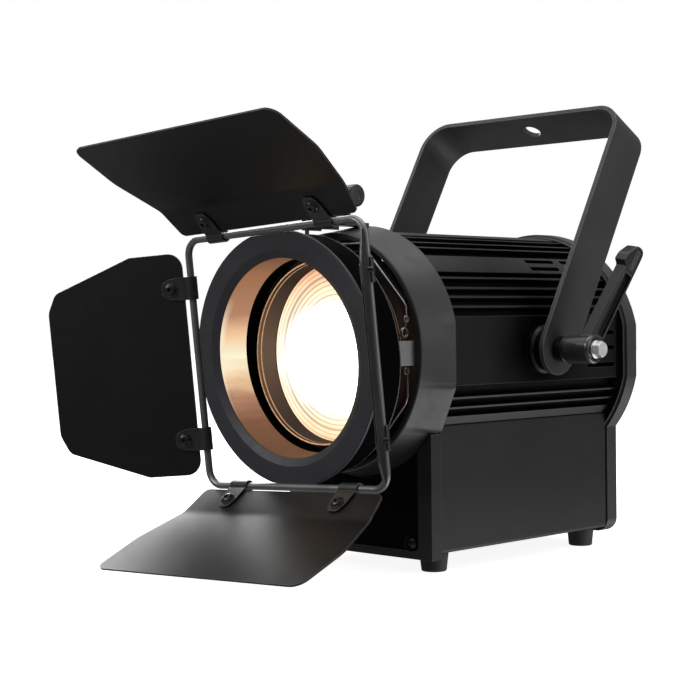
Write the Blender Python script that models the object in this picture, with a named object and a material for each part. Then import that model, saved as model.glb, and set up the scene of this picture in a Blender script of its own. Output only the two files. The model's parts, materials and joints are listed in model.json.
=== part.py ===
"""Fresnel spotlight with four-leaf barn doors, a hanging yoke and clamp levers.

All dimensions below are in millimetres in the design frame: X across the lamp,
+Y to the rear, +Z up, with the optical axis at X = 0, the front face of the barn-door
ring near Y = 0 and the floor under the feet at Z = 0.  The finished assembly is then
moved so that its origin is the bottom centre of its bounding box, and written in metres.
"""
import math

import bmesh
import bpy
from mathutils import Matrix, Vector

MM = 0.001
GAP = 0.3                    # clearance between pieces that touch

# ---- driving dimensions -------------------------------------------------------------
AXIS_Z = 147.3               # height of the optical axis and of the yoke pivot
BODY_R = 83.0                # extruded heat-sink body
BODY_INNER_R = 70.0
BODY_FRONT = 78.0
BODY_REAR = 264.1
FIN_DEPTH = 5.0
FIN_HALF_ANGLE = 0.6         # half the width of a fin tip, in degrees
SHOULDER_Z = 98.8            # where the round body stands on the base

BEZEL_FRONT = 45.8
BEZEL_FRONT_R = 81.5
BEZEL_REAR_R = 86.5
BEZEL_INNER_R = 77.0
BEZEL_FLAT_X = 84.2

COVER_FRONT = 264.4
COVER_REAR = 280.4
COVER_R = 87.2
COVER_DROP = 1.4             # the round head's centre lies this far below the optical axis
COVER_HALF_X = 85.2
COVER_NECK_X = 66.0
COVER_WALL = 3.0

BASE_HALF_X = 67.4
BASE_FRONT = 69.3
BASE_CASTING_REAR = 79.0
BASE_BOTTOM = 12.7
BASE_LIP = 9.0               # lower edge of the front casting
BASE_SCREW = (47.9, 19.0)    # recessed screws in the front casting
BASE_SCREW_R = 5.6
BASE_TOP = 98.5
BASE_WALL = 2.5

FOOT_X = 55.1
FOOT_Y = (85.6, 249.5)
FOOT_TOP_R = 9.9
FOOT_BOTTOM_R = 8.6

LENS_R = 62.0
LENS_FRONT = 50.6
LENS_THICK = 5.5
HOOD_FRONT = 33.7            # front lip of the lens retaining ring
GUIDE_R = 2.0
GUIDE_OFFSET = 64.5          # guide rod above and zoom screw below the optical axis
SCREW_R = 2.0

LED_Y = 165.0
FAN_Y = 224.0
FAN_SIZE = 84.0

RING_R = 85.0
RING_OPENING_R = 66.3
RING_DEPTH = 27.1
RING_DROOP = 4.03            # degrees the barn doors lean forward in their holder
RING_TWIST = 2.55            # degrees the barn doors are turned about the optical axis
RING_DROP = 3.3
WIRE_HALF = 85.1             # half size of the square hinge wire
WIRE_R = 2.5
WIRE_CORNER_R = 11.0

LEAF_THICK = 1.2
LEAF_START = 4.8             # distance of the leaf's inner edge from the hinge wire
LEAF_FOLD = 28.0
LEAF_FOLD_ANGLE = 16.0
LEAF_LONG = 104.5
LEAF_SIDE_LONG = 111.0
OPEN_TOP = 39.0              # leaf angles: 0 is flat outward, 90 is straight forward
OPEN_BOTTOM = 54.5
OPEN_LEFT = 28.0
OPEN_RIGHT = 48.0

CLIP_AT = 52.5               # clips along the wire, either side of its middle
CLIP_WIDTH = 16.0
CLIP_LONG = 22.0
CLIP_SCREW_AT = 15.0
CLIP_IN_R = WIRE_R + GAP
CLIP_OUT_R = 4.1

PIVOT_Y = 173.6
YOKE_HALF_X = 94.6
YOKE_WIDTH = 36.0
YOKE_THICK = 3.5
YOKE_REACH = 193.4
YOKE_TILT = 29.4             # degrees the yoke leans back
YOKE_BEND_R = 22.0
YOKE_HOLE_R = 6.5
LEVER_HUB_R = 10.0
LEVER_HUB_OUT = 125.5
LEVER_LONG = 81.5
LEVER_LEAN = 10.0            # degrees the grip leans away from the yoke

LATCH_Y = 60.0
LATCH_KNOB_Z = 253.5
LATCH_KNOB_R = 7.8


# ---- small tools --------------------------------------------------------------------
def material(name, colour, roughness, metallic=0.0):
    """One Principled material."""
    mat = bpy.data.materials.new(name)
    mat.use_nodes = True
    shader = mat.node_tree.nodes["Principled BSDF"]
    shader.inputs["Base Color"].default_value = (*colour, 1.0)
    shader.inputs["Roughness"].default_value = roughness
    shader.inputs["Metallic"].default_value = metallic
    return mat


def place(point, axis):
    """Turn (a, b, t) into a 3-D point, t along the named axis."""
    a, b, t = point
    order = {"X": (t, a, b), "Y": (a, t, b), "Z": (a, b, t)}
    return Vector(order[axis]) * MM


def finish_mesh(name, bm, mat):
    """Make an object from a bmesh, with its faces pointing out."""
    bmesh.ops.remove_doubles(bm, verts=bm.verts, dist=1e-6)
    bmesh.ops.recalc_face_normals(bm, faces=bm.faces)
    mesh = bpy.data.meshes.new(name)
    bm.to_mesh(mesh)
    bm.free()
    mesh.shade_smooth()
    mesh.set_sharp_from_angle(angle=math.radians(35))
    if mat is not None:
        mesh.materials.append(mat)
    obj = bpy.data.objects.new(name, mesh)
    bpy.context.collection.objects.link(obj)
    return obj


def add_prism(bm, outline, start, end, axis):
    """Extrude a closed outline along an axis inside a bmesh."""
    verts = [bm.verts.new(place((a, b, start), axis)) for a, b in outline]
    face = bm.faces.new(verts)
    grown = bmesh.ops.extrude_face_region(bm, geom=[face])
    moved = [item for item in grown["geom"] if isinstance(item, bmesh.types.BMVert)]
    bmesh.ops.translate(bm, verts=moved, vec=place((0, 0, end - start), axis))


def prism(name, outline, start, end, axis, mat=None):
    bm = bmesh.new()
    add_prism(bm, outline, start, end, axis)
    return finish_mesh(name, bm, mat)


def turned(name, profile, steps, mat=None, closed=True, axis="Y"):
    """Spin a profile of (radius, distance along the axis) points about the axis."""
    bm = bmesh.new()
    verts = [bm.verts.new(place((r, 0, t), axis)) for r, t in profile]
    pairs = list(zip(verts, verts[1:]))
    if closed:
        pairs.append((verts[-1], verts[0]))
    edges = [bm.edges.new(pair) for pair in pairs]
    spin_axis = place((0, 0, 1), axis)
    bmesh.ops.spin(bm, geom=verts + edges, cent=(0, 0, 0), axis=spin_axis,
                   angle=math.tau, steps=steps, use_merge=True)
    bmesh.ops.remove_doubles(bm, verts=bm.verts, dist=1e-6)
    return finish_mesh(name, bm, mat)


def cutter(obj):
    obj.hide_render = True
    obj.display_type = "WIRE"
    return obj


def combine(target, tool, operation="DIFFERENCE"):
    """Apply a Boolean with a tool object that stays in the file as a wire guide."""
    cutter(tool)
    modifier = target.modifiers.new(tool.name, "BOOLEAN")
    modifier.operation = operation
    modifier.solver = "EXACT"
    modifier.object = tool
    return target


def soften(obj, width, segments=2, angle=40):
    """Bevel the sharp edges of a piece."""
    modifier = obj.modifiers.new("soft_edges", "BEVEL")
    modifier.width = width * MM
    modifier.segments = segments
    modifier.limit_method = "ANGLE"
    modifier.angle_limit = math.radians(angle)
    return obj


def arc(centre, radius, start, end, steps):
    """Points on an arc, angles in degrees."""
    points = []
    for i in range(steps + 1):
        angle = math.radians(start + (end - start) * i / steps)
        points.append((centre[0] + radius * math.cos(angle), centre[1] + radius * math.sin(angle)))
    return points


def rectangle(x0, x1, z0, z1):
    return [(x0, z0), (x1, z0), (x1, z1), (x0, z1)]


def rounded(points, radii, steps=4):
    """Round the corners of an outline, one radius for each corner."""
    result = []
    count = len(points)
    for i, radius in enumerate(radii):
        here = Vector(points[i])
        before = (Vector(points[i - 1]) - here).normalized()
        after = (Vector(points[(i + 1) % count]) - here).normalized()
        if radius <= 0:
            result.append(tuple(here))
            continue
        half = before.angle(after) / 2
        reach = radius / math.tan(half)
        centre = here + (before + after).normalized() * radius / math.sin(half)
        first = here + before * reach - centre
        last = here + after * reach - centre
        sweep = first.angle_signed(last)
        for k in range(steps + 1):
            turn = Matrix.Rotation(-sweep * k / steps, 2)
            result.append(tuple(centre + turn @ first))
    return result


def box(name, low, high, mat=None):
    return prism(name, rectangle(low[0], high[0], low[2], high[2]), low[1], high[1], "Y", mat)


def disc(name, centre, radius, start, end, axis, steps=24, mat=None):
    return prism(name, arc(centre, radius, 0, 360 - 360 / steps, steps - 1), start, end, axis, mat)


def boxes(name, ranges, mat=None):
    """Several separate boxes in one guide object."""
    bm = bmesh.new()
    for low, high in ranges:
        add_prism(bm, rectangle(low[0], high[0], low[2], high[2]), low[1], high[1], "Y")
    return finish_mesh(name, bm, mat)


def empty(name, parent, location=(0, 0, 0), rotation=None):
    obj = bpy.data.objects.new(name, None)
    bpy.context.collection.objects.link(obj)
    obj.parent = parent
    obj.location = Vector(location) * MM
    if rotation is not None:
        obj.rotation_euler = rotation
    return obj


def attach(parent, *objects):
    for obj in objects:
        obj.parent = parent
        for modifier in obj.modifiers:
            if modifier.type == "BOOLEAN":
                modifier.object.parent = parent
    return objects[0]


def polar(radius, angle):
    return (radius * math.cos(math.radians(angle)), radius * math.sin(math.radians(angle)))


# ---- heat-sink body -----------------------------------------------------------------
LOW_STRIP = -31.4            # upper edge of the smooth strip above the foot
LOW_FINS = (-26.9, -21.8)
SIDE_FINS = (21.1, 26.1, 30.8, 36.6)
TOP_FINS = (58.3, 63.8, 70.5)
SIDE_PANEL = (-15.8, 16.6)
VENT_BAND = (40.2, 51.4)
TOP_BAND = 74.4


def fin_group(low, high, fins):
    """Outline through a group of fins: smooth skin at both ends, grooves in between."""
    points = [polar(BODY_R, low)]
    edges = [low]
    for fin in fins:
        edges += [fin - FIN_HALF_ANGLE, fin + FIN_HALF_ANGLE]
    edges.append(high)
    floor = BODY_R - FIN_DEPTH
    for start, end in zip(edges[0::2], edges[1::2]):
        points += [polar(BODY_R, start), polar(floor, start), polar(floor, end), polar(BODY_R, end)]
    return points[1:]


def body_outline():
    """Cross-section of the extrusion, an arch that is open at the bottom."""
    foot_z = SHOULDER_Z - AXIS_Z
    foot_angle = math.degrees(math.asin(foot_z / BODY_R))
    inner_angle = math.degrees(math.asin(foot_z / BODY_INNER_R))
    side = [polar(BODY_R, foot_angle)]
    side += fin_group(LOW_STRIP, SIDE_PANEL[0], LOW_FINS)
    side += fin_group(SIDE_PANEL[1], VENT_BAND[0], SIDE_FINS)
    side += arc((0, 0), BODY_R, *VENT_BAND, 3)[1:-1]
    side += fin_group(VENT_BAND[1], TOP_BAND, TOP_FINS)
    side += arc((0, 0), BODY_R, TOP_BAND, 90, 4)[1:]
    mirrored = [(-x, z) for x, z in reversed(side[:-1])]
    inner = arc((0, 0), BODY_INNER_R, 180 - inner_angle, inner_angle, 32)
    return [(x, z + AXIS_Z) for x, z in side + mirrored + inner]


VENT_ROWS = (48.5, 43.3)
VENT_SPANS = ((186.3, 219.3), (226.8, 259.8))
VENT_HALF = 1.9
SIDE_SLOTS_Z = (158.0, 146.9, 134.6)
SIDE_SLOT_SPAN = (226.8, 259.8)
SLOT_HALF = 1.6
BOLT_HOLE_R = 4.3


def vent_cutters():
    """Slots near the top and in the side panels, and the two bolt holes for the yoke."""
    bm = bmesh.new()
    for angle in VENT_ROWS:
        for side in (angle, 180 - angle):
            spin = Matrix.Rotation(math.radians(-side), 4, "Y")
            for start, end in VENT_SPANS:
                before = set(bm.verts)
                add_prism(bm, rectangle(BODY_INNER_R - 6, BODY_R + 4, -VENT_HALF, VENT_HALF),
                          start, end, "Y")
                fresh = [vert for vert in bm.verts if vert not in before]
                bmesh.ops.transform(bm, verts=fresh, matrix=spin)
                bmesh.ops.translate(bm, verts=fresh, vec=(0, 0, AXIS_Z * MM))
    for z in SIDE_SLOTS_Z:
        for x0, x1 in ((60, 90), (-90, -60)):
            add_prism(bm, rectangle(x0, x1, z - SLOT_HALF, z + SLOT_HALF), *SIDE_SLOT_SPAN, "Y")
    for x0, x1 in ((60, 90), (-90, -60)):
        add_prism(bm, arc((PIVOT_Y, AXIS_Z), BOLT_HOLE_R, 0, 342, 19), x0, x1, "X")
    return finish_mesh("vent_cutters", bm, None)


def make_body(lamp, mats):
    body = prism("heat_sink_housing", body_outline(), BODY_FRONT, BODY_REAR, "Y", mats["anodised"])
    combine(body, vent_cutters())
    attach(lamp, body)


# ---- front bezel and accessory holder -----------------------------------------------
HOLDER_FLAT = 68.0
HOLDER_CORNER = 35.0
HOLDER_FRONT = 44.5
HOLDER_PLATE = (46.5, 48.0)
HOLDER_REAR = 52.0
BEZEL_WEB_FRONT = 74.7
HOLDER_OPENING_R = 63.5


def octagon(flat, corner):
    quarter = [(flat, -corner), (flat, corner), (corner, flat), (-corner, flat)]
    return [(x, z + AXIS_Z) for x, z in quarter + [(-x, -z) for x, z in quarter]]


FACET_ANGLE = -24.1          # direction that the bezel's lower side facets face, in degrees
FACET_REACH = 86.35          # distance of those facets from the optical axis at the rear
FACET_START = -15.3
FACET_END = -36.1


def bezel_stretch(vert):
    """How far the bezel stands out of its cone on the flat sides and the lower facets."""
    angle = math.degrees(math.atan2(vert.z, abs(vert.x)))
    if not FACET_END < angle < 90:
        return 0.0
    if angle < FACET_START:
        reach = FACET_REACH / math.cos(math.radians(angle - FACET_ANGLE))
    else:
        reach = min(BEZEL_REAR_R, BEZEL_FLAT_X / max(0.1, math.cos(math.radians(angle))))
    share = min(1.0, max(0.0, (vert.y / MM - BEZEL_FRONT) / (BODY_FRONT - BEZEL_FRONT)))
    return (reach - BEZEL_REAR_R) * share


def make_bezel(lamp, mats):
    lip = 3.0
    profile = arc((BEZEL_FRONT_R - lip, BEZEL_FRONT + lip), lip, -90, 0, 3)
    profile = [(BEZEL_INNER_R, BEZEL_FRONT)] + profile
    profile += [(BEZEL_REAR_R - 0.6, BODY_FRONT - 1.2), (BEZEL_REAR_R - 1.4, BODY_FRONT - GAP)]
    profile += [(BODY_INNER_R + 1.5, BODY_FRONT - GAP), (BODY_INNER_R + 1.5, BEZEL_WEB_FRONT),
                (BEZEL_INNER_R, BEZEL_WEB_FRONT)]
    bezel = turned("front_bezel", profile, 60, mats["satin"])
    for vert in bezel.data.vertices:
        radius = math.hypot(vert.co.x, vert.co.z)
        if radius > BEZEL_INNER_R * MM + 1e-6:
            grown = 1 + bezel_stretch(vert.co) * MM / radius
            vert.co.x *= grown
            vert.co.z *= grown
    bezel.location.z = AXIS_Z * MM
    attach(lamp, bezel)


def make_holder(lamp, mats):
    """Octagonal tray behind the barn doors, with three tabs that hold their flange."""
    wall = 1.2
    holder = prism("accessory_holder", octagon(HOLDER_FLAT, HOLDER_CORNER),
                   HOLDER_FRONT, HOLDER_REAR, "Y", mats["steel_black"])
    inner = octagon(HOLDER_FLAT - wall, HOLDER_CORNER - wall * 0.4)
    combine(holder, prism("holder_front_cut", inner, HOLDER_FRONT - 1, HOLDER_PLATE[0], "Y"))
    combine(holder, prism("holder_rear_cut", inner, HOLDER_PLATE[1], HOLDER_REAR + 1, "Y"))
    combine(holder, disc("holder_opening", (0, AXIS_Z), HOLDER_OPENING_R, 40, 80, "Y", 36))
    for side in (-1, 1):
        tab = [(67.25, HOLDER_FRONT), (74.6, HOLDER_FRONT), (74.6, 31.5), (70.5, 31.5),
               (70.5, 30.0), (76.1, 30.0), (76.1, HOLDER_FRONT + wall), (67.25, HOLDER_FRONT + wall)]
        outline = [(side * x, y) for x, y in tab]
        name = "holder_tab_right" if side > 0 else "holder_tab_left"
        combine(holder, prism(name, outline, AXIS_Z - 8, AXIS_Z + 8, "Z"), "UNION")
    low = [(HOLDER_FRONT, -67.25), (HOLDER_FRONT, -75.1), (37.5, -75.1), (37.5, -71.0),
           (36.0, -71.0), (36.0, -76.6), (HOLDER_FRONT + wall, -76.6), (HOLDER_FRONT + wall, -67.25)]
    combine(holder, prism("holder_tab_low", [(y, z + AXIS_Z) for y, z in low], -8, 8, "X"), "UNION")
    attach(lamp, holder)


# ---- base and feet ------------------------------------------------------------------
def make_base(lamp, mats):
    x1 = BASE_HALF_X
    x2 = x1 - BASE_WALL
    lip = 13.0
    top = BASE_TOP
    inner_top = top - BASE_WALL
    floor = BASE_BOTTOM + BASE_WALL
    outline = [(-x1, BASE_BOTTOM), (x1, BASE_BOTTOM), (x1, top), (x1 - lip, top),
               (x1 - lip, inner_top), (x2, inner_top), (x2, floor), (-x2, floor),
               (-x2, inner_top), (lip - x1, inner_top), (lip - x1, top), (-x1, top)]
    radii = [2.5, 2.5, 2.0, 0, 0, 0, 0, 0, 0, 0, 0, 2.0]
    base = prism("base_box", rounded(outline, radii, 3), BASE_CASTING_REAR + GAP, BODY_REAR, "Y",
                 mats["powder"])
    attach(lamp, base)

    half = BASE_HALF_X + 0.7
    plan = [(-half, BASE_CASTING_REAR), (-half, BASE_FRONT), (half, BASE_FRONT),
            (half, BASE_CASTING_REAR)]
    front = prism("base_front", rounded(plan, [0, 3.0, 3.0, 0], 4), BASE_LIP, BASE_TOP, "Z",
                  mats["powder"])
    lip_cut = [(BASE_CASTING_REAR + 1, BASE_LIP - 1), (BASE_CASTING_REAR + 1, BASE_BOTTOM + 0.8),
               (BASE_CASTING_REAR - 4.6, BASE_LIP - 1)]
    combine(front, prism("base_lip_cut", lip_cut, -80, 80, "X"))
    combine(front, disc("base_bezel_cut", (0, AXIS_Z), BEZEL_REAR_R + GAP + 1.9, 60, 90, "Y", 60))
    for side, hand in ((1, "right"), (-1, "left")):
        combine(front, disc(f"base_screw_recess_{hand}", (side * BASE_SCREW[0], BASE_SCREW[1]),
                            BASE_SCREW_R, BASE_FRONT - 1, BASE_FRONT + 4, "Y", 20))
        combine(front, disc(f"base_foot_recess_{hand}", (side * FOOT_X, FOOT_Y[0]),
                            FOOT_TOP_R + GAP, 5, BASE_BOTTOM, "Z", 24))
    attach(lamp, front)

    for y, end in zip(FOOT_Y, ("front", "rear")):
        for side, hand in ((-1, "left"), (1, "right")):
            profile = [(0, 0), (FOOT_BOTTOM_R - 0.8, 0), (FOOT_BOTTOM_R, 0.8),
                       (FOOT_TOP_R, BASE_BOTTOM - GAP), (0, BASE_BOTTOM - GAP)]
            foot = turned(f"foot_{end}_{hand}", profile, 16, mats["rubber"], closed=False, axis="Z")
            foot.location = Vector((side * FOOT_X, y, 0)) * MM
            attach(lamp, foot)


# ---- rear cover with its controls ---------------------------------------------------
BUTTONS = ("menu", "down", "up", "enter")
BUTTON_X = (20.0, 32.0, 44.0, 56.0)
CONTROL_Z = 83.3             # height of the zoom screw, the display and the buttons
BUTTON_R = 3.8
BUTTON_OUT = 1.6
DISPLAY = (-60.0, -18.0, CONTROL_Z - 9.0, CONTROL_Z + 9.0)
SOCKET_Z = 42.0
DMX_X = (-46.0, -14.0)
DMX_R = 11.5
INLET = (20.0, 52.0, SOCKET_Z - 12.0, SOCKET_Z + 12.0)


def cover_outline(inset=0.0):
    """Round head with flat sides on a narrower foot."""
    r = COVER_R - inset
    flat = COVER_HALF_X - inset
    neck = COVER_NECK_X - inset
    top_angle = math.degrees(math.acos(flat / r))
    neck_angle = -math.degrees(math.acos(neck / r))
    centre_z = AXIS_Z - COVER_DROP
    side = arc((COVER_NECK_X - 10, BASE_LIP + 10), 10 - inset, -90, 0, 4)
    side += arc((0, centre_z), r, neck_angle, -top_angle, 5)
    side += arc((0, centre_z), r, top_angle, 90, 12)
    return side + [(-x, z) for x, z in reversed(side[:-1])]


def make_rear_cover(lamp, mats):
    cover = prism("rear_cover", cover_outline(), COVER_FRONT, COVER_REAR, "Y", mats["satin"])
    soften(cover, 1.2, 1, 50)
    shell = prism("cover_hollow", cover_outline(COVER_WALL), COVER_FRONT - 5,
                  COVER_REAR - COVER_WALL, "Y")
    combine(cover, shell)
    back = (COVER_REAR - COVER_WALL - 2, COVER_REAR + 2)
    vents = []
    for i in range(7):
        z = AXIS_Z + (i - 3) * 9.0
        vents.append(((-34, back[0], z - 2.2), (34, back[1], z + 2.2)))
    vents.append(((DISPLAY[0] - GAP, back[0], DISPLAY[2] - GAP),
                  (DISPLAY[1] + GAP, back[1], DISPLAY[3] + GAP)))
    vents.append(((INLET[0] - GAP, back[0], INLET[2] - GAP), (INLET[1] + GAP, back[1], INLET[3] + GAP)))
    combine(cover, boxes("cover_windows", vents))
    bm = bmesh.new()
    rounds = [(x, CONTROL_Z, BUTTON_R + GAP) for x in BUTTON_X]
    rounds += [(x, SOCKET_Z, DMX_R + GAP) for x in DMX_X]
    rounds.append((0.0, AXIS_Z - GUIDE_OFFSET, SCREW_R + GAP))
    for x, z, radius in rounds:
        add_prism(bm, arc((x, z), radius, 0, 342, 19), *back, "Y")
    combine(cover, finish_mesh("cover_round_holes", bm, None))
    attach(lamp, cover)

    window = box("display_window", (DISPLAY[0], COVER_REAR - 2.6, DISPLAY[2]),
                 (DISPLAY[1], COVER_REAR - 0.4, DISPLAY[3]), mats["display"])
    attach(lamp, window)
    for name, x in zip(BUTTONS, BUTTON_X):
        profile = [(0, -4.5), (BUTTON_R + 1.2, -4.5), (BUTTON_R + 1.2, -3.9), (BUTTON_R, -3.9),
                   (BUTTON_R, BUTTON_OUT - 0.6), (BUTTON_R - 0.6, BUTTON_OUT), (0, BUTTON_OUT)]
        button = turned(f"button_{name}", profile, 12, mats["button"], closed=False)
        button.location = Vector((x, COVER_REAR, CONTROL_Z)) * MM
        attach(lamp, button)
    for name, x in zip(("dmx_input", "dmx_output"), DMX_X):
        profile = [(0, -16), (DMX_R, -16), (DMX_R, 1.2), (DMX_R - 2.5, 1.2), (DMX_R - 2.5, -11),
                   (0, -11)]
        socket = turned(name, profile, 20, mats["satin"], closed=False)
        socket.location = Vector((x, COVER_REAR, SOCKET_Z)) * MM
        attach(lamp, socket)
    inlet = box("power_inlet", (INLET[0], COVER_REAR - 18, INLET[2]),
                (INLET[1], COVER_REAR + 1.2, INLET[3]), mats["plastic"])
    wall = 3.5
    well = box("inlet_well", (INLET[0] + wall, COVER_REAR - 14, INLET[2] + wall),
               (INLET[1] - wall, COVER_REAR + 3, INLET[3] - wall))
    combine(inlet, well)
    attach(lamp, inlet)


# ---- optics, light source and what else is inside -----------------------------------
def make_optics(lamp, carriage, mats):
    """The lens rides in a carriage on a guide rod and a zoom screw."""
    lens_rear = LENS_FRONT + LENS_THICK
    hood = [(LENS_R + 0.3, HOOD_FRONT), (60.4, HOOD_FRONT), (60.0, LENS_FRONT - GAP),
            (LENS_R + 0.3, LENS_FRONT - GAP)]
    ring = turned("lens_ring", hood, 48, mats["ring_black"])
    dome = [(0, LENS_FRONT), (LENS_R, LENS_FRONT), (LENS_R, lens_rear), (0, lens_rear)]
    lens = turned("fresnel_lens", dome, 48, mats["glass"], closed=False)
    hold = [(57.0, lens_rear + GAP), (69.0, lens_rear + GAP), (69.0, lens_rear + 7),
            (57.0, lens_rear + 7)]
    holder = turned("lens_carriage", hold, 48, mats["steel_black"])
    combine(holder, disc("carriage_rod_hole", (0, GUIDE_OFFSET), GUIDE_R + GAP, 50, 70, "Y", 16))
    combine(holder, disc("carriage_screw_hole", (0, -GUIDE_OFFSET), SCREW_R + GAP, 50, 70, "Y", 16))
    attach(carriage, ring)
    attach(carriage, lens)
    attach(carriage, holder)

    rod = disc("guide_rod", (0, AXIS_Z + GUIDE_OFFSET), GUIDE_R, 52, LED_Y - GAP, "Y", 16, mats["steel"])
    attach(lamp, rod)
    screw = [(0, 52), (SCREW_R, 52), (SCREW_R, COVER_REAR + 2), (11, COVER_REAR + 2),
             (12, COVER_REAR + 3), (11.4, COVER_REAR + 15), (10, COVER_REAR + 16), (0, COVER_REAR + 16)]
    spindle = turned("zoom_knob", screw, 20, mats["plastic"], closed=False)
    spindle.location.z = (AXIS_Z - GUIDE_OFFSET) * MM
    attach(lamp, spindle)


def make_light_source(lamp, mats):
    sink = disc("led_heat_sink", (0, AXIS_Z), 66, LED_Y, LED_Y + 44, "Y", 32, mats["aluminium"])
    slots = []
    for i in range(9):
        x = (i - 4) * 13.0
        slots.append(((x - 4.5, LED_Y + 10, 40), (x + 4.5, LED_Y + 60, 230)))
    combine(sink, boxes("sink_slots", slots))
    combine(sink, disc("sink_screw_slot", (0, AXIS_Z - GUIDE_OFFSET), 7, LED_Y - 5, LED_Y + 60,
                       "Y", 20))
    attach(lamp, sink)
    module = [(0, -14), (6, -13), (10.5, -9.5), (12.5, -4), (12.5, -3), (38, -3), (38, -GAP),
              (0, -GAP)]
    led = turned("led_module", module, 24, mats["led"], closed=False)
    led.location = Vector((0, LED_Y, AXIS_Z)) * MM
    attach(lamp, led)


def make_fan(lamp, mats):
    half = FAN_SIZE / 2
    frame = box("fan_frame", (-half, FAN_Y, AXIS_Z - half), (half, FAN_Y + 20, AXIS_Z + half),
                mats["plastic"])
    ring = prism("fan_duct", arc((0, AXIS_Z), half - 3, 0, 345, 23), FAN_Y + 3, FAN_Y + 25, "Y")
    combine(frame, ring)
    bm = bmesh.new()
    for i in range(4):
        mid = 45 + 90 * i
        sector = arc((0, AXIS_Z), half - 6, mid - 38, mid + 38, 5)
        sector += arc((0, AXIS_Z), 12, mid + 30, mid - 30, 2)
        add_prism(bm, sector, FAN_Y - 5, FAN_Y + 4, "Y")
    combine(frame, finish_mesh("fan_spokes", bm, None))
    attach(lamp, frame)

    hub = turned("fan_rotor", [(0, 4), (14, 4), (14, 17), (0, 17)], 14, mats["plastic"],
                 closed=False)
    for i in range(7):
        blade = box(f"fan_blade_{i}", (11, -1.0, -5.5), (half - 5.5, 1.0, 5.5))
        spin = Matrix.Rotation(math.tau * i / 7, 4, "Y")
        pitch = Matrix.Rotation(math.radians(50), 4, "X")
        blade.matrix_world = Matrix.Translation((0, 10.5 * MM, 0)) @ spin @ pitch
        combine(hub, blade, "UNION")
    pivot = empty("fan_axis", lamp, (0, FAN_Y, AXIS_Z))
    attach(pivot, hub)


def make_power_supply(lamp, mats):
    supply = box("power_supply", (-48, 110, BASE_BOTTOM + BASE_WALL + GAP), (48, 215, 62),
                 mats["aluminium"])
    attach(lamp, supply)


# ---- top latch ----------------------------------------------------------------------
def make_latch(lamp, mats):
    """A plate on the bezel, a sliding hook beside it and the thumbscrew that clamps it."""
    foot_z = AXIS_Z + BEZEL_REAR_R - 0.6
    ear = [(LATCH_Y - 9, foot_z), (LATCH_Y + 15, foot_z), (LATCH_Y + 15, foot_z + 2.2),
           (LATCH_Y + 6, foot_z + 2.2), (LATCH_Y + 6, LATCH_KNOB_Z + 5), (LATCH_Y + 3, LATCH_KNOB_Z + 8),
           (LATCH_Y - 3, LATCH_KNOB_Z + 8), (LATCH_Y - 6, LATCH_KNOB_Z + 5), (LATCH_Y - 6, foot_z + 2.2),
           (LATCH_Y - 9, foot_z + 2.2)]
    bracket = prism("latch_bracket", ear, -5.5, -3.0, "X", mats["steel_black"])
    pad = box("latch_pad", (-5.5, LATCH_Y - 9, foot_z), (9, LATCH_Y + 15, foot_z + 2.2))
    combine(bracket, pad, "UNION")
    combine(bracket, disc("latch_screw_hole", (LATCH_Y, LATCH_KNOB_Z), 2.6, -8, 0, "X", 16))
    attach(lamp, bracket)

    low = AXIS_Z + 68.6
    over = foot_z + 4.4
    hook = [(24.2, low), (26.2, low), (26.2, over), (LATCH_Y - 6, over), (LATCH_Y - 6, foot_z + 3.0),
            (LATCH_Y + 6, foot_z + 3.0), (LATCH_Y + 6, LATCH_KNOB_Z + 8), (LATCH_Y - 6, LATCH_KNOB_Z + 8),
            (LATCH_Y - 6, over + 4), (26.2, over + 4), (24.2, over + 2)]
    arm = prism("latch_arm", hook, -2.6, -0.4, "X", mats["steel_black"])
    slot = rounded([(LATCH_Y - 2.6, LATCH_KNOB_Z - 17), (LATCH_Y + 2.6, LATCH_KNOB_Z - 17),
                    (LATCH_Y + 2.6, LATCH_KNOB_Z + 2.6), (LATCH_Y - 2.6, LATCH_KNOB_Z + 2.6)],
                   [2.5, 2.5, 2.5, 2.5], 4)
    combine(arm, prism("latch_slot", slot, -5, 2, "X"))
    attach(lamp, arm)

    r = LATCH_KNOB_R
    knob = [(0, -9), (2.2, -9), (2.2, 0.2), (r - 1, 0.2), (r, 1.2), (r, 11), (r - 1.2, 12.2), (0, 12.2)]
    thumb = turned("latch_knob", knob, 20, mats["plastic"], closed=False, axis="X")
    thumb.location = Vector((0, LATCH_Y, LATCH_KNOB_Z)) * MM
    attach(lamp, thumb)


# ---- barn doors ---------------------------------------------------------------------
def swept_wire(name, path, radius, sides, mat):
    """A closed round wire along a flat path in the XZ plane."""
    bm = bmesh.new()
    rings = []
    count = len(path)
    for i, (x, z) in enumerate(path):
        ahead = Vector(path[(i + 1) % count]) - Vector(path[i - 1])
        across = Vector((ahead.y, 0, -ahead.x)).normalized()
        ring = []
        for k in range(sides):
            angle = math.tau * k / sides
            offset = across * math.cos(angle) * radius + Vector((0, math.sin(angle) * radius, 0))
            ring.append(bm.verts.new((Vector((x, 0, z)) + offset) * MM))
        rings.append(ring)
    for i in range(count):
        first = rings[i]
        second = rings[(i + 1) % count]
        for k in range(sides):
            n = (k + 1) % sides
            bm.faces.new((first[k], first[n], second[n], second[k]))
    return finish_mesh(name, bm, mat)


def wire_path():
    corner = WIRE_HALF
    square = [(corner, -corner), (corner, corner), (-corner, corner), (-corner, -corner)]
    return rounded(square, [WIRE_CORNER_R] * 4, 5)


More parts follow.
